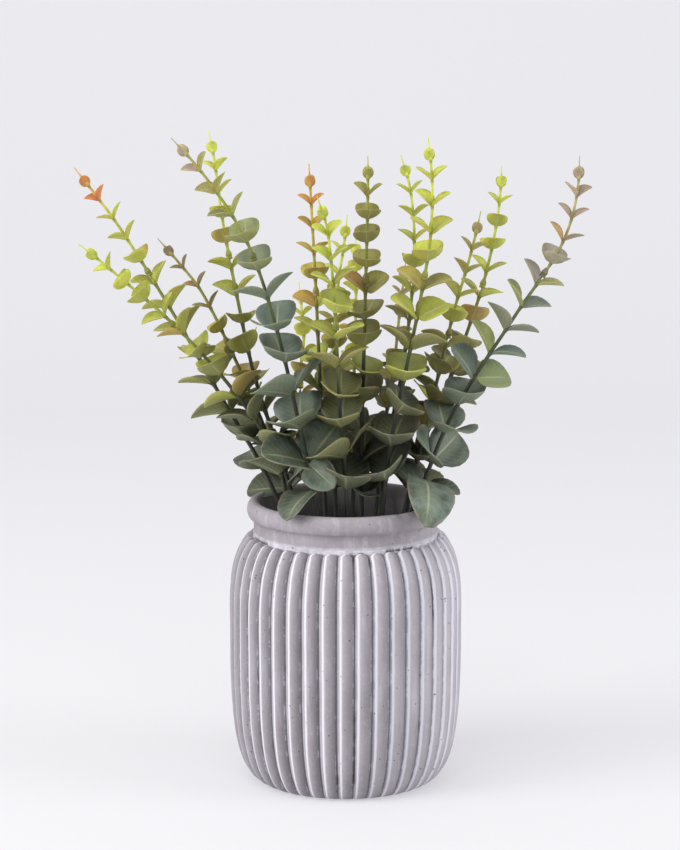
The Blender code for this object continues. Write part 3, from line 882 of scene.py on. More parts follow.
S = Shade
PLANS = (
    BranchPlan("01", (-24, 4), ((-48, 5, 20), (-71, 6, 60), (-97, 8, 106), (-126, 10, 153),
               (-150, 11, 185)), 12.5, (7.2, 24), 14, "leaf_orange",
               Ageing(S.FLAME, S.LIME, S.MOSS, S.DARK, 0.15)),
    BranchPlan("02", (-27, -12), ((-37, -15, 22), (-55, -18, 56), (-87, -21, 95),
               (-120, -24, 126), (-145, -26, 147)), 12.0, (8, 23), 13, "leaf_lime",
               Ageing(S.LIME, S.LIME, S.MOSS, S.DARK, 0.2)),
    BranchPlan("03", (-20, 19), ((-48, 24, 42), (-64, 27, 79), (-81, 31, 113), (-97, 34, 133),
               (-106, 36, 143)), 12.5, (7, 22), 11, "leaf_purple",
               Ageing(S.PLUM, S.KHAKI, S.MOSS, S.DARK, 0.2), seed=8, snug=0.94),
    BranchPlan("04", (-13, -26), ((-18, -31, 12), (-27, -36, 57), (-36, -42, 98),
               (-51, -50, 147), (-72, -56, 183), (-92, -61, 207)), 14.0, (11, 29), 11,
               "leaf_grey", Ageing(S.BLUSH, S.MOSS, S.SLATE, S.DARK, 0.6),
               (10, -128.0, 84.0, 27, 0.34)),
    BranchPlan("05", (-21, 11), ((-36, 15, 20), (-51, 20, 66), (-61, 27, 111), (-69, 33, 153),
               (-74, 38, 189), (-77, 41, 203)), 12.5, (8, 22), 13, "leaf_lime",
               Ageing(S.LIME, S.LIME, S.MOSS, S.DARK, 0.2)),
    BranchPlan("06", (-10, -6), ((-13, -8, 30), (-14, -9, 64), (-16, -9, 113), (-18, -10, 153),
               (-20, -10, 189)), 12.5, (7.5, 22), 12, "leaf_orange",
               Ageing(S.FLAME, S.AMBER, S.MOSS, S.DARK, 0.1)),
    BranchPlan("07", (2, -28), ((0, -33, 16), (-3, -39, 56), (-6, -50, 119), (-10, -57, 160),
               (-15, -61, 176)), 13.0, (8.5, 27), 12, "leaf_lime",
               Ageing(S.LIME, S.LIME, S.OLIVE, S.DEEP, 0.2)),
    BranchPlan("08", (-5, 16), ((-7, 17, 50), (-5, 18, 110), (0, 20, 147), (1, 21, 158)),
               12.0, (8, 18), 10, "leaf_lime",
               Ageing(S.BRIGHT_LIME, S.LIME, S.OLIVE, S.DARK, 0.1)),
    BranchPlan("09", (9, -8), ((9, -14, 44), (10, -17, 80), (11, -22, 125), (12, -27, 166),
               (12, -31, 195)), 12.0, (8.5, 25), 13, "leaf_olive",
               Ageing(S.MOSS, S.OLIVE, S.OLIVE, S.DEEP, 0.2)),
    BranchPlan("10", (17, 10), ((24, 14, 30), (32, 19, 71), (38, 25, 121), (38, 30, 158),
               (34, 34, 182), (31, 36, 190)), 12.5, (8, 21), 12, "leaf_lime",
               Ageing(S.LIME, S.LIME, S.OLIVE, S.DEEP, 0.15)),
    BranchPlan("11", (18, -22), ((23, -28, 25), (30, -31, 64), (40, -36, 115), (46, -40, 155),
               (46, -43, 188), (44, -46, 206)), 13.5, (9, 27), 13, "leaf_lime",
               Ageing(S.BRIGHT_LIME, S.BRIGHT_LIME, S.OLIVE, S.DEEP, 0.2)),
    BranchPlan("12", (28, 18), ((42, 21, 22), (56, 25, 58), (63, 27, 75), (78, 32, 119),
               (86, 37, 157), (88, 41, 184)), 12.0, (7.5, 24), 13, "leaf_lime",
               Ageing(S.LIME, S.LIME, S.OLIVE, S.DARK, 0.25)),
    BranchPlan("13", (29, 3), ((41, 4, 25), (51, 6, 66), (61, 7, 108), (69, 9, 135),
               (75, 10, 161)), 12.5, (8, 24), 12, "leaf_purple",
               Ageing(S.KHAKI, S.MOSS, S.OLIVE, S.DEEP, 0.2)),
    BranchPlan("14", (26, -15), ((44, -16, 15), (61, -19, 56), (93, -24, 108), (118, -27, 148),
               (126, -29, 181), (126, -31, 195)), 12.0, (8, 27), 14, "leaf_grey",
               Ageing(S.BLUSH, S.BLUSH, S.SLATE, S.DARK, 0.65), (13, -78.0, 78.0, 36, 0.62)),
    BranchPlan("15", (-12, 25), ((-24, 36, 25), (-26, 48, 60), (-24, 60, 82), (-26, 72, 104),
               (-27, 77, 113)), 11.0, (6.5, 15), 10, "leaf_lime",
               Ageing(S.BRIGHT_LIME, S.BRIGHT_LIME, S.LIME, S.MOSS, 0.0)),
    BranchPlan("16", (4, 27), ((5, 42, 30), (5, 58, 70), (6, 68, 100), (6, 83, 140)),
               11.5, (6.5, 16), 11, "leaf_lime",
               Ageing(S.BRIGHT_LIME, S.BRIGHT_LIME, S.LIME, S.MOSS, 0.0)),
    BranchPlan("17", (16, 26), ((22, 40, 30), (28, 52, 70), (31, 60, 96), (35, 71, 127)),
               11.5, (6.5, 16), 10, "leaf_olive",
               Ageing(S.KHAKI, S.KHAKI, S.OLIVE, S.DARK, 0.1)),
)


def through(a: Vector, b: Vector, c: Vector, d: Vector, t: float) -> Vector:
    """A point of the smooth curve between b and c.

    Args:
        a: The knot before b.
        b: The knot at t = 0.
        c: The knot at t = 1.
        d: The knot after c.
        t: Share of the way from b to c.

    Returns:
        The point.
    """
    bend = (2 * a - 5 * b + 4 * c - d) * t**2 + (3 * b - 3 * c + d - a) * t**3
    return 0.5 * (2 * b + (c - a) * t + bend)


class Route:
    """A branch's path from its foot on the foam (0) to its tip (length)."""

    step = 18 * MM
    foam_drop = 32 * MM

    def __init__(self, plan: BranchPlan, lip: float) -> None:
        """Lays the path.

        Args:
            plan: The branch.
            lip: Height of the pot's lip.
        """
        knots = [Vector((*plan.foot, 0)) * MM + Vector((0, 0, lip - self.foam_drop))]
        knots += [Vector(point) * MM + Vector((0, 0, lip)) for point in plan.through]
        ends = [2 * knots[0] - knots[1], *knots, 2 * knots[-1] - knots[-2]]
        dense = [
            through(*four, i / 14) for four in zip(ends, ends[1:], ends[2:], ends[3:])
            for i in range(14)
        ]
        dense.append(knots[-1])
        marks = self._marks(dense)
        count = round(marks[-1] / self.step)
        wanted = np.linspace(0.0, marks[-1], count + 1)
        flat = np.array(dense)
        placed = np.stack([np.interp(wanted, marks, flat[:, k]) for k in range(3)], axis=1)
        self.knots = [Vector(point) for point in placed]
        self.marks = self._marks(self.knots)
        self.length = self.marks[-1]

    @staticmethod
    def _marks(points: Sequence[Vector]) -> list[float]:
        """Distances of points along their line."""
        marks = [0.0]
        for a, b in zip(points, points[1:]):
            marks.append(marks[-1] + (b - a).length)
        return marks

    def _leg(self, s: float) -> tuple[int, float]:
        """The leg a distance lies on, and the share of it passed."""
        i = next((k for k, m in enumerate(self.marks[1:-1]) if s < m), len(self.marks) - 2)
        return i, (s - self.marks[i]) / (self.marks[i + 1] - self.marks[i])

    def straight(self, s: float) -> tuple[Vector, Vector]:
        """Place and direction on the straight legs that the solid stalks follow."""
        i, share = self._leg(s)
        a, b = self.knots[i], self.knots[i + 1]
        return a.lerp(b, share), (b - a).normalized()

    def smooth(self, s: float) -> Vector:
        """Place on the curve through the legs' ends."""
        i, share = self._leg(s)
        if s < 0 or s > self.length:
            return self.straight(s)[0]
        ends = [2 * self.knots[0] - self.knots[1], *self.knots, 2 * self.knots[-1] - self.knots[-2]]
        return through(*ends[i : i + 4], share)


@dataclass
class LeafSpot:
    """Where one leaf grows: its stalk, axes, size, share of the way down and colour."""

    place: Vector
    aim: Vector
    up: Vector
    length: float
    width: float
    share: float
    droop: float = 0.13


@dataclass
class Blade:
    """A leaf of length 1 along X and width 1 along Y, facing up."""

    cup: float
    droop: float
    ripple: float
    fold: float
    curl: float
    thickness: float = 0.02
    rows: tuple[float, ...] = (0.0, 0.055, 0.1, 0.19, 0.32, 0.48, 0.64, 0.78, 0.89, 0.965, 1.0)
    columns: tuple[float, ...] = (-1.0, -0.55, 0.0, 0.55, 1.0)

    def half_width(self, along: float) -> float:
        """Half the leaf's width at a share of its length."""
        if along < 0.06:
            return 0.03
        v = ((along - 0.05) / 0.95) ** 0.92
        return max(0.03, 0.5 * max(0.0, 1 - abs(2 * v - 1) ** 2.35) ** 0.56)

    def point(self, along: float, across: float, lift: float) -> tuple[float, float, float]:
        """A corner of the leaf.

        Args:
            along: Share of the length.
            across: Share of the half width, negative to one side.
            lift: 1 on the upper face and -1 on the lower.

        Returns:
            The corner's place.
        """
        half = self.half_width(along)
        y = half * across
        z = self.cup * (2 * abs(y)) ** 1.7 - self.droop * along**2
        z += self.fold * abs(y) + self.curl * along * y
        z += self.ripple * across**2 * math.sin(9 * along + 1.5 * across) * (along > 0.06)
        return along, y, z + lift * self.thickness * (0.62 if along > 0.06 else 1.4)

    def mesh(self, name: str) -> bpy.types.Mesh:
        """The leaf as a thin closed shell with its own map."""
        bm = bmesh.new()
        chart = bm.loops.layers.uv.new("leaf_uv")
        under = bm.verts.layers.float.new("underside")
        sheets: list[dict[tuple[int, int], Any]] = []
        place: dict[Any, tuple[float, float]] = {}
        for lift in (1, -1):
            grid = {}
            for i, along in enumerate(self.rows):
                for k, across in enumerate(self.columns):
                    if i == len(self.rows) - 1 and k != 2:
                        continue
                    vertex = bm.verts.new(self.point(along, across, lift))
                    vertex[under] = 0.0 if lift > 0 else 1.0
                    place[vertex] = ((across + 1) / 2, along)
                    grid[i, k] = vertex
            sheets.append(grid)
        last = len(self.rows) - 1
        for sheet, grid in enumerate(sheets):
            for i in range(last):
                for k in range(len(self.columns) - 1):
                    corners = [grid[i, k], grid[i, k + 1]]
                    if i + 1 == last:
                        corners.append(grid[last, 2])
                    else:
                        corners += [grid[i + 1, k + 1], grid[i + 1, k]]
                    bm.faces.new(corners if sheet else corners[::-1])
        outline = [(i, 0) for i in range(last)] + [(last, 2)]
        outline += [(i, len(self.columns) - 1) for i in range(last - 1, -1, -1)]
        outline += [(0, k) for k in range(len(self.columns) - 2, 0, -1)]
        top, bottom = sheets
        for a, b in zip(outline, outline[1:] + outline[:1]):
            bm.faces.new([top[a], top[b], bottom[b], bottom[a]])
        bmesh.ops.recalc_face_normals(bm, faces=bm.faces)
        for face in bm.faces:
            for loop in face.loops:
                loop[chart].uv = place[loop.vert]
        mesh = bpy.data.meshes.new(name)
        bm.to_mesh(mesh)
        bm.free()
        return mesh


class Foliage:
    """Geometry Nodes that set leaves on a stalk, and the leaves they pick from."""

    shapes = (
        Blade(0.10, 0.12, 0.0, 0.03, 0.0),
        Blade(0.15, 0.09, 0.01, 0.0, 0.06),
        Blade(0.06, 0.15, 0.016, 0.05, -0.06),
        Blade(0.12, 0.07, 0.012, 0.05, 0.03),
        Blade(0.18, 0.13, 0.0, 0.0, -0.04),
        Blade(0.12, 0.34, 0.02, 0.03, 0.04),
        Blade(0.10, 0.62, 0.02, 0.02, -0.05),
    )
    common = 5
    roll_play = 0.12
    turn_play = 0.08
    age_play = 0.09
    light_span = (0.84, 1.2)
    fresh_span, fresh_share, fresh_odds = (0.2, 0.6), (0.25, 0.75), 0.3
    rust_span, rust_share, rust_odds = (0.3, 0.6), (0.22, 0.6), 0.14

    def __init__(self, finish: bpy.types.Material) -> None:
        """Makes the leaf shapes and the tree.

        Args:
            finish: The leaves' material.
        """
        self.finish = finish
        self.box = bpy.data.collections.new("leaf_shapes")
        for number, shape in enumerate(self.shapes):
            name = f"leaf_shape_{number}"
            self.box.objects.link(bpy.data.objects.new(name, shape.mesh(name)))
        made = Recipe("leaves_on_stalk", Shapes="Collection", Finish="Material")
        shapes = made.node(
            "GeometryNodeCollectionInfo", {},
            {"Collection": made.given("Shapes"), "Separate Children": True, "Reset Children": True},
        )
        turn = made.node(
            "FunctionNodeEulerToRotation", {}, {"Euler": made.named("turned", "FLOAT_VECTOR")}
        )
        leaves = made.node(
            "GeometryNodeInstanceOnPoints", {},
            {"Points": made.given("Geometry"), "Instance": shapes, "Pick Instance": True,
             "Instance Index": made.named("shape", "INT"), "Rotation": turn,
             "Scale": made.named("size", "FLOAT_VECTOR")},
        )
        made.finish(leaves, made.given("Finish"))
        self.recipe = made

    @staticmethod
    def chance(
        dice: random.Random, share: float, span: tuple[float, float],
        within: tuple[float, float], odds: float,
    ) -> float:
        """How strongly one leaf takes a second colour.

        Args:
            dice: The branch's own random numbers.
            share: The leaf's share of the way down.
            span: Least and greatest strength.
            within: Shares of the way down between which leaves take it.
            odds: How many of those leaves do.

        Returns:
            The strength, 0 for a leaf without it.
        """
        if within[0] < share < within[1] and dice.random() < odds:
            return dice.uniform(*span)
        return 0.0

    def grow(self, name: str, spots: Sequence[LeafSpot], ageing: Ageing, seed: int) -> bpy.types.Mesh:
        """Makes one stalk's leaves.

        Args:
            name: Name of the mesh.
            spots: Where the leaves grow.
            ageing: Their colours.
            seed: Seed of their small differences.

        Returns:
            The leaves as one mesh.
        """
        dice = random.Random(seed)
        start = bpy.data.meshes.new(f"{name}_spots")
        start.from_pydata([spot.place for spot in spots], [], [])
        turned, sizes, shapes, colors, blooms = [], [], [], [], []
        for spot in spots:
            side = spot.up.cross(spot.aim)
            axes = Matrix((spot.aim, side, spot.up)).transposed()
            axes = axes @ Matrix.Rotation(dice.uniform(-self.roll_play, self.roll_play), 3, "X")
            axes = axes @ Matrix.Rotation(dice.uniform(-self.turn_play, self.turn_play), 3, "Z")
            turned.append(axes.to_euler())
            sizes.append((spot.length, spot.width, spot.length))
            hanging = [k for k, shape in enumerate(self.shapes) if shape.droop == spot.droop]
            shapes.append(hanging[0] if hanging else dice.randrange(self.common))
            share = min(1.0, max(0.0, spot.share + dice.uniform(-self.age_play, self.age_play)))
            light = dice.uniform(*self.light_span)
            rust = self.chance(dice, share, self.rust_span, self.rust_share, self.rust_odds)
            fresh = self.chance(dice, share, self.fresh_span, self.fresh_share, self.fresh_odds)
            own = blended(ageing.color(share), Shade.LIME.light, fresh)
            colors.append([c * light for c in blended(own, Shade.RUST.light, rust)])
            reach = min(1.0, max(0.0, spot.share - 0.2) * 2.0)
            blooms.append(ageing.bloom * reach * dice.uniform(0.5, 1.1))
        write_attribute(start, "turned", "FLOAT_VECTOR", turned)
        write_attribute(start, "size", "FLOAT_VECTOR", sizes)
        write_attribute(start, "shape", "INT", shapes)
        write_attribute(start, "leaf_color", "FLOAT_VECTOR", colors)
        write_attribute(start, "bloom", "FLOAT", blooms)
        return self.recipe.mesh(name, start, Shapes=self.box, Finish=self.finish)


class StalkMaker:
    """Geometry Nodes that sweep a round stalk along a path."""

    sides = 10

    def __init__(self, finish: bpy.types.Material) -> None:
        """Makes the tree.

        Args:
            finish: The stalks' material.
        """
        self.finish = finish
        made = Recipe("stalk_along", Sides="Int", Finish="Material")
        path = made.node("GeometryNodeMeshToCurve", {}, {"Mesh": made.given("Geometry")})
        ring = made.node(
            "GeometryNodeCurvePrimitiveCircle", {"mode": "RADIUS"},
            {"Resolution": made.given("Sides"), "Radius": 1.0},
        )
        tube = made.node(
            "GeometryNodeCurveToMesh", {},
            {"Curve": path, "Profile Curve": ring, "Scale": made.named("thickness", "FLOAT"),
             "Fill Caps": True},
        )
        made.finish(tube, made.given("Finish"))
        self.recipe = made

    def sweep(
        self, name: str, points: Sequence[Vector], radii: Sequence[float],
        colors: Sequence[Color], rings: Sequence[float],
    ) -> bpy.types.Mesh:
        """Makes one stalk.

        Args:
            name: Name of the mesh.
            points: Its path.
            radii: Its radius at each point.
            colors: Its colour at each point.
            rings: How much of a leaf scar each point is, 0 to 1.

        Returns:
            The stalk's closed mesh.
        """
        start = bpy.data.meshes.new(f"{name}_path")
        start.from_pydata(points, [(i, i + 1) for i in range(len(points) - 1)], [])
        write_attribute(start, "thickness", "FLOAT", radii)
        write_attribute(start, "stalk_color", "FLOAT_VECTOR", colors)
        write_attribute(start, "node_ring", "FLOAT", rings)
        return tidied(self.recipe.mesh(name, start, Sides=self.sides, Finish=self.finish))


@dataclass
class Branch:
    """A wired branch: lower stalk and leaves, collar, sprig stalk and leaves.

    The stalks are slimmer, the peg thinner and the socket wider than the solid parts'.
    """

    plan: BranchPlan
    lip: float
    stem_radius: float = 1.65 * MM
    slimmer: float = 0.84
    tip_radius: float = 0.8 * MM
    spear: float = 13 * MM
    bud_leaf: float = 7.5 * MM
    leaf_scale: float = 1.1
    pitch_growth: float = 0.045
    lowest_pair: float = 2 * MM
    sprig_pairs: int = 4
    collar_over_pair: float = 7.5 * MM
    stalk_depth: float = 0.8 * MM
    droop: float = 0.13
    peg_length: float = 3.2 * MM
    peg_radius: float = 0.42 * MM
    ball_radius: float = 0.9 * MM
    socket_radius: float = 1.32 * MM
    collar_wall: float = 0.48 * MM
    hole_depth: float = 21.5 * MM
    clear_of_stem: float = 0.35 * MM
    least_leaf: float = 3.6 * MM
    node_swell: float = 0.28
    node_half: float = 1.1 * MM

    def __post_init__(self) -> None:
        """Lays the route and finds the pairs and the ball."""
        self.route = Route(self.plan, self.lip)
        self.places = [self.route.length - self.spear]
        for i in range(self.plan.pairs):
            grown = 0.8 if i == 0 else 1 + self.pitch_growth * i
            lower = self.places[-1] - self.plan.pitch * MM * grown
            if self.route.straight(lower)[0].z < self.lip + self.lowest_pair:
                break
            self.places.append(lower)
        joint = self.places[min(self.sprig_pairs + 1, len(self.places) - 1)]
        self.ball = joint + self.collar_over_pair

    def radius(self, s: float) -> float:
        """The stalk's radius at a distance from its foot."""
        share = min(1.0, max(0.0, s / self.route.length))
        return (self.stem_radius + (self.tip_radius - self.stem_radius) * share) * self.slimmer

    def lean(self, index: int) -> float:
        """How far the leaves of a pair lean out from the stalk, in radians."""
        share = index / max(1, len(self.places))
        sway = 14 * share * math.sin(3.1 * index + 0.9 * int(self.plan.name))
        return math.radians(20 if index == 0 else 40 + 18 * min(1.0, 1.6 * share) + sway)

    def leaf_clumps(self, node: str) -> list[list[Vector]]:
        """The corners of each of a solid part's leaves, the farthest from the stalk first."""
        bm = bmesh.new()
        bm.from_mesh(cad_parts[node].data)
        bmesh.ops.remove_doubles(bm, verts=bm.verts, dist=0.02 * MM)
        gaps = {}
        knots = self.route.knots
        for vertex in bm.verts:
            gap = min(self._gap(vertex.co, a, b) for a, b in zip(knots, knots[1:]))
            if gap > self.stem_radius + self.clear_of_stem and vertex.co.z > knots[0].z + 2 * MM:
                gaps[vertex] = gap
        found, seen = [], set()
        for vertex in gaps:
            if vertex in seen:
                continue
            clump, queue = [], [vertex]
            seen.add(vertex)
            while queue:
                here = queue.pop()
                clump.append(here)
                for edge in here.link_edges:
                    other = edge.other_vert(here)
                    if other in gaps and other not in seen:
                        seen.add(other)
                        queue.append(other)
            clump.sort(key=lambda v: -gaps[v])
            if gaps[clump[0]] > self.least_leaf:
                found.append([v.co.copy() for v in clump])
        bm.free()
        return found

    @staticmethod
    def _gap(point: Vector, a: Vector, b: Vector) -> float:
        """Distance of a point from a straight leg."""
        leg = b - a
        share = min(1.0, max(0.0, (point - a).dot(leg) / leg.length_squared))
        return (point - a - leg * share).length

    def spots(self, node: str, upper: bool) -> list[LeafSpot]:
        """Where a solid part's leaves grow.

        Args:
            node: The solid part.
            upper: Whether it is the sprig.

        Returns:
            One place for each leaf but the bud's.
        """
        found = []
        for clump in self.leaf_clumps(node):
            fits = [self._hanging(clump)] if self.plan.rim and not upper else []
            fits += [
                self._in_pair(clump, index) for index, s in enumerate(self.places)
                if (s > self.ball) == upper
            ]
            spot = min(fits, key=lambda fit: fit[0])[1]
            if spot.share > 0 or not upper:
                found.append(spot)
        return found

    def _in_pair(self, clump: list[Vector], index: int) -> tuple[float, LeafSpot]:
        """How badly a leaf fits a pair, and where it grows if it is in it."""
        small, large = (self.leaf_scale * size * MM for size in self.plan.leaves)
        place, along = self.route.straight(self.places[index])
        tip, share = clump[0], index / len(self.places)
        out = tip - place
        out = (out - out.dot(along) * along).normalized()
        stalk = place + out * (self.radius(self.places[index]) - self.stalk_depth)
        full = small + (large - small) * share**1.25 if index else self.bud_leaf
        reach = (tip - stalk).length / math.hypot(1, self.droop)
        tilt = math.acos(max(-1.0, min(1.0, (tip - stalk).normalized().dot(along))))
        miss = abs(tilt - self.lean(index) - math.atan(self.droop))
        miss += 2 * min(abs(reach / full - size) for size in (1.0, 0.88, 0.76, 0.64))
        return miss, self._framed(clump, stalk, along, reach, self.droop, share)

    def _hanging(self, clump: list[Vector]) -> tuple[float, LeafSpot]:
        """How badly a leaf fits the one over the lip, and where it grows if it is that one."""
        rise, turn, lean, length, droop = self.plan.rim
        out = Vector((math.cos(math.radians(turn)), math.sin(math.radians(turn)), 0.0))
        tilt, best = math.radians(lean), None
        s = self.hole_depth
        while s < self.route.length / 2:
            place, along = self.route.straight(s)
            across = (out - out.dot(along) * along).normalized()
            stalk = place + across * (self.radius(s) - self.stalk_depth)
            aim = math.cos(tilt) * along + math.sin(tilt) * across
            up = (along - along.dot(aim) * aim).normalized()
            miss = (stalk + (aim - droop * up) * length * MM - clump[0]).length / MM
            if best is None or miss < best[0]:
                best = miss, stalk, along
            s += 0.5 * MM
        return best[0], self._framed(clump, best[1], best[2], length * MM, droop, 0.9)

    def _framed(
        self, clump: list[Vector], stalk: Vector, along: Vector, reach: float, droop: float,
        share: float,
    ) -> LeafSpot:
        """A leaf's place, with its axes from its stalk, its tip and its two sides."""
        line = (clump[0] - stalk).normalized()
        off = {tuple(v): (v - stalk - (v - stalk).dot(line) * line) for v in clump}
        wing = max(off.values(), key=lambda v: v.length)
        other = max(off.values(), key=lambda v: (v - wing).length)
        side = wing - other
        width = side.length
        side.normalize()
        rise = line.cross(side)
        if rise.dot(along) < 0:
            rise, side = -rise, -side
        turn = math.atan(droop)
        aim = math.cos(turn) * line + math.sin(turn) * rise
        up = math.cos(turn) * rise - math.sin(turn) * line
        width = min(width * 1.03, reach * 1.25)
        return LeafSpot(stalk, aim, up, reach * 1.03, width, share, droop)

    def buds(self) -> list[LeafSpot]:
        """The small cupped pair under the spear."""
        place, along = self.route.straight(self.places[0])
        turn = math.radians(90 + 14 * math.sin(1.7 * int(self.plan.name)))
        across = (Vector((1, 0, 0)) - along.x * along).normalized()
        out = math.cos(turn) * across + math.sin(turn) * along.cross(across)
        made = []
        for way in (out, -out):
            stalk = place + way * (self.radius(self.places[0]) - self.stalk_depth)
            aim = math.cos(self.lean(0)) * along + math.sin(self.lean(0)) * way
            up = (along - along.dot(aim) * aim).normalized()
            made.append(LeafSpot(stalk, aim, up, self.bud_leaf, self.bud_leaf * 0.8, 0.0))
        return made

    def stalk(self, maker: StalkMaker, name: str, low: float, high: float, upper: bool) -> Any:
        """Sweeps one stalk.

        Args:
            maker: The stalks' recipe.
            name: Name of the mesh.
            low: Distance of its lower end.
            high: Distance of its upper end.
            upper: Whether it is the sprig's.

        Returns:
            Its mesh.
        """
        marks = set(np.linspace(low, high, max(3, round((high - low) / (4 * MM)))))
        for s in self.places:
            marks |= {s + d * MM for d in (-2.4, -1.1, -0.3, 0.5, 1.6) if low < s + d * MM < high}
        marks = sorted(marks)
        radii, colors, rings = [], [], []
        for s in marks:
            ring = max(math.exp(-(((s - p) / self.node_half) ** 2)) for p in self.places)
            radii.append(self.radius(s) * (1 + self.node_swell * ring))
            share = 1 - s / self.route.length
            tint = blended(self.plan.ageing.color(share), Shade.LIME.light, 0.35)
            dark = min(1.0, max(0.0, share * 2.4 - 0.3))
            colors.append(blended(tint, linear(58, 64, 52), dark))
            rings.append(ring)
        if upper:
            start = self.places[0]
            for i, s in enumerate(marks):
                if s > start:
                    t = (s - start) / (high - start)
                    bulb = math.sin(math.pi * min(1.0, t * 1.35 + 0.12)) if t < 0.65 else 0.0
                    radii[i] = max(0.3 * MM, self.tip_radius * (1 - t) ** 0.7 + 0.5 * MM * bulb)
        points = [self.route.smooth(s) for s in marks]
        if not upper:
            place, along = self.route.straight(self.ball)
            shoulder = blended(colors[-1], (0.3, 0.3, 0.2), 0.2)
            ends = (
                (-self.peg_length, self.peg_radius), (-self.ball_radius, self.peg_radius),
                (-0.45 * self.ball_radius, self.ball_radius * 0.9),
                (0.0, self.ball_radius), (0.45 * self.ball_radius, self.ball_radius * 0.9),
                (0.95 * self.ball_radius, self.ball_radius * 0.35),
            )
            for reach, radius in ends:
                points.append(place + along * reach)
                radii.append(radius)
                colors.append(shoulder)
                rings.append(0.0)
        return maker.sweep(name, points, radii, colors, rings)

    def collar(self, name: str, finish: bpy.types.Material) -> bpy.types.Mesh:
        """The swollen collar: a turned cup, open below, round the lower stalk's ball."""
        outer = self.socket_radius + self.collar_wall
        profile = [
            (0.0, 1.5), (self.socket_radius / MM, 1.2), (self.socket_radius / MM, -1.6),
            (self.socket_radius / MM + 0.12, -1.8), (outer / MM - 0.1, -1.8), (outer / MM, -1.55),
            (outer / MM, -0.9), (outer / MM - 0.16, -0.6), (outer / MM - 0.16, 0.0),
            (outer / MM + 0.03, 0.35), (outer / MM, 1.2), (outer / MM - 0.3, 2.2),
            (self.radius(self.ball) / MM + 0.12, 3.3), (self.radius(self.ball) / MM - 0.25, 3.9),
            (0.0, 3.95),
        ]
        place, along = self.route.straight(self.ball)
        turn = along.to_track_quat("Z", "Y").to_matrix().to_4x4()
        matrix = Matrix.Translation(place) @ turn
        bm = bmesh.new()
        ring = [bm.verts.new((r * MM, 0.0, z * MM)) for r, z in profile]
        edges = [bm.edges.new(pair) for pair in zip(ring, ring[1:])]
        bmesh.ops.spin(bm, geom=ring + edges, cent=(0, 0, 0), axis=(0, 0, 1), angle=math.tau,
                       steps=16, use_duplicate=False)
        bmesh.ops.remove_doubles(bm, verts=bm.verts, dist=0.004 * MM)
        bmesh.ops.recalc_face_normals(bm, faces=bm.faces)
        bmesh.ops.transform(bm, matrix=matrix, verts=bm.verts)
        mesh = bpy.data.meshes.new(name)
        bm.to_mesh(mesh)
        bm.free()
        mesh.shade_smooth()
        mesh.materials.append(finish)
        share = 1 - self.ball / self.route.length
        tint = blended(self.plan.ageing.color(share), linear(92, 88, 52), 0.45)
        write_attribute(mesh, "stalk_color", "FLOAT_VECTOR", [tint] * len(mesh.vertices))
        write_attribute(mesh, "node_ring", "FLOAT", [0.25] * len(mesh.vertices))
        return mesh

    def build(self, maker: StalkMaker, foliage: Foliage) -> None:
        """Makes the branch's pieces.

        Args:
            maker: The stalks' recipe.
            foliage: The leaves' recipe.
        """
        name, slot = self.plan.name, self.plan.slot
        lower, upper = f"lower_stem_{name}", f"upper_sprig_{name}"
        seed = 100 * int(name) + self.plan.seed
        low_end = self.ball - self.peg_length - 1.2 * MM
        low = self.stalk(maker, f"lower_stalk_{name}", -self.hole_depth, low_end, False)
        shown(f"lower_stalk_{name}", low, ROOT_BODY, slot, lower)
        spots = self.spots(lower, False)
        if spots:
            leaves = foliage.grow(f"lower_leaves_{name}", spots, self.plan.ageing, seed)
            shown(f"lower_leaves_{name}", leaves, ROOT_BODY, slot, lower)
        body = f"sprig_{name}"
        collar = self.collar(f"collar_{name}", maker.finish)
        shown(f"collar_{name}", collar, body, slot, upper)
        top = self.stalk(
            maker, f"sprig_stalk_{name}", self.ball + 3.0 * MM, self.route.length, True
        )
        shown(f"sprig_stalk_{name}", top, body, slot, upper)
        spots = [
            replace(spot, length=spot.length * self.plan.snug, width=spot.width * self.plan.snug)
            for spot in self.buds() + self.spots(upper, True)
        ]
        leaves = foliage.grow(f"sprig_leaves_{name}", spots, self.plan.ageing, seed + 1)
        shown(f"sprig_leaves_{name}", leaves, body, slot, upper)


# Studio


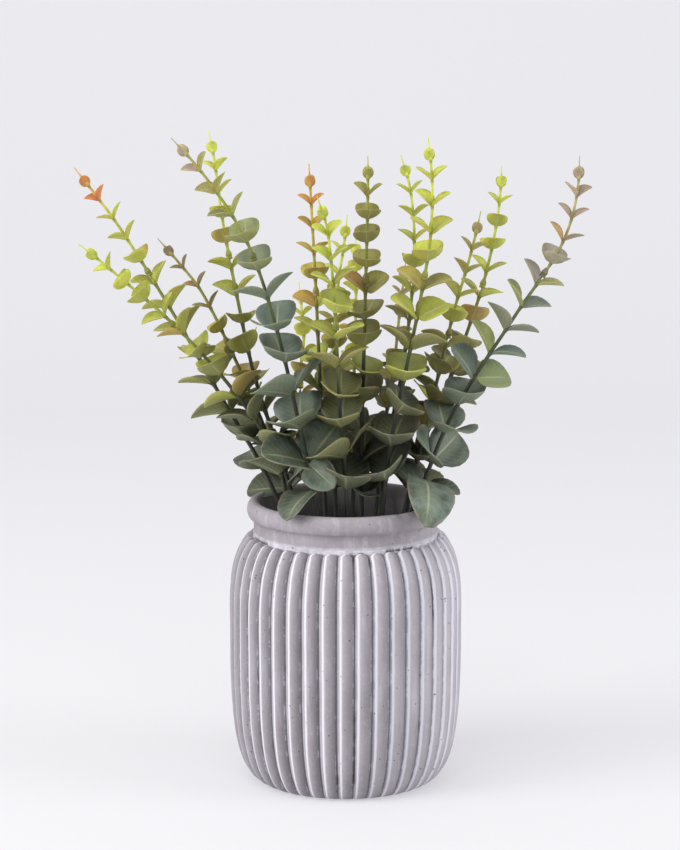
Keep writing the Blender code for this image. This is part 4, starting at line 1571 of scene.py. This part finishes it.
@dataclass
class Studio:
    """Camera, pale paper sweep and soft lights."""

    eye: Color = (0.0, -1.6, 0.485)
    aim: Color = (0.0, 0.0, 0.202)
    lens: float = 123.4
    shift_x: float = -0.0065
    paper: StageFinish = StageFinish()

    def camera(self) -> None:
        """Makes the camera."""
        lens = bpy.data.cameras.new("camera")
        lens.lens, lens.sensor_width, lens.shift_x = self.lens, 36.0, self.shift_x
        lens.clip_start, lens.clip_end = 0.05, 50.0
        camera = bpy.data.objects.new("camera", lens)
        bpy.context.scene.collection.objects.link(camera)
        camera.location = self.eye
        look = Vector(self.aim) - Vector(self.eye)
        camera.rotation_euler = look.to_track_quat("-Z", "Y").to_euler()
        bpy.context.scene.camera = camera

    def sweep(self) -> None:
        """Makes the paper floor that curves up behind."""
        rows = [(-4.0, 0.0), (-1.5, 0.0), (0.0, 0.0), (1.2, 0.0)]
        rows += [(1.2 + 0.9 * math.sin(a), 0.9 - 0.9 * math.cos(a))
                 for a in np.linspace(0.1, math.pi / 2, 14)]
        rows.append((2.1, 5.0))
        points = [(x, y, z) for y, z in rows for x in (-5.0, -1.0, 0.0, 1.0, 5.0)]
        faces = [
            (5 * i + k, 5 * i + k + 1, 5 * i + k + 6, 5 * i + k + 5)
            for i in range(len(rows) - 1) for k in range(4)
        ]
        mesh = bpy.data.meshes.new("paper_sweep")
        mesh.from_pydata(points, [], faces)
        mesh.shade_smooth()
        mesh.materials.append(self.paper.material())
        sweep = bpy.data.objects.new("paper_sweep", mesh)
        bpy.context.scene.collection.objects.link(sweep)

    def light(self, name: str, place: Color, size: float, power: float, color: Color) -> None:
        """Adds a soft square light aimed at the plant.

        Args:
            name: The light's name.
            place: Where it hangs.
            size: Its side.
            power: Watts.
            color: Its colour.
        """
        lamp = bpy.data.lights.new(name, "AREA")
        lamp.size, lamp.energy, lamp.color = size, power, color
        held = bpy.data.objects.new(name, lamp)
        held.location = place
        look = Vector((0, 0, 0.18)) - Vector(place)
        held.rotation_euler = look.to_track_quat("-Z", "Y").to_euler()
        bpy.context.scene.collection.objects.link(held)

    def build(self) -> None:
        """Makes the whole studio."""
        self.camera()
        self.sweep()
        world = bpy.data.worlds.new("studio_air")
        world.use_nodes = True
        air = world.node_tree.nodes["Background"]
        air.inputs["Color"].default_value = (0.96, 0.97, 1.0, 1.0)
        air.inputs["Strength"].default_value = 0.72
        bpy.context.scene.world = world
        self.light("left", (-1.7, -0.75, 0.9), 1.1, 30, (1.0, 0.99, 0.98))
        self.light("right", (1.8, -0.5, 0.8), 1.1, 20, (0.98, 0.99, 1.0))
        self.light("top", (-0.3, -0.9, 1.9), 1.2, 13, (1.0, 1.0, 0.99))
        bpy.context.scene.view_settings.view_transform = "Standard"


def main() -> None:
    """Builds the studio, the pot, the foam and the branches."""
    logging.basicConfig(level=logging.INFO, format="%(message)s")
    Studio().build()
    Pot().build(CementFinish().material())
    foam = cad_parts["foam_plug"]
    foam.data.materials.clear()
    foam.data.materials.append(FoamFinish().material())
    maker = StalkMaker(StalkFinish().material())
    foliage = Foliage(LeafFinish().material())
    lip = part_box("pot")[1].z
    for plan in PLANS:
        Branch(plan, lip).build(maker, foliage)


if __name__ == "__main__":
    main()
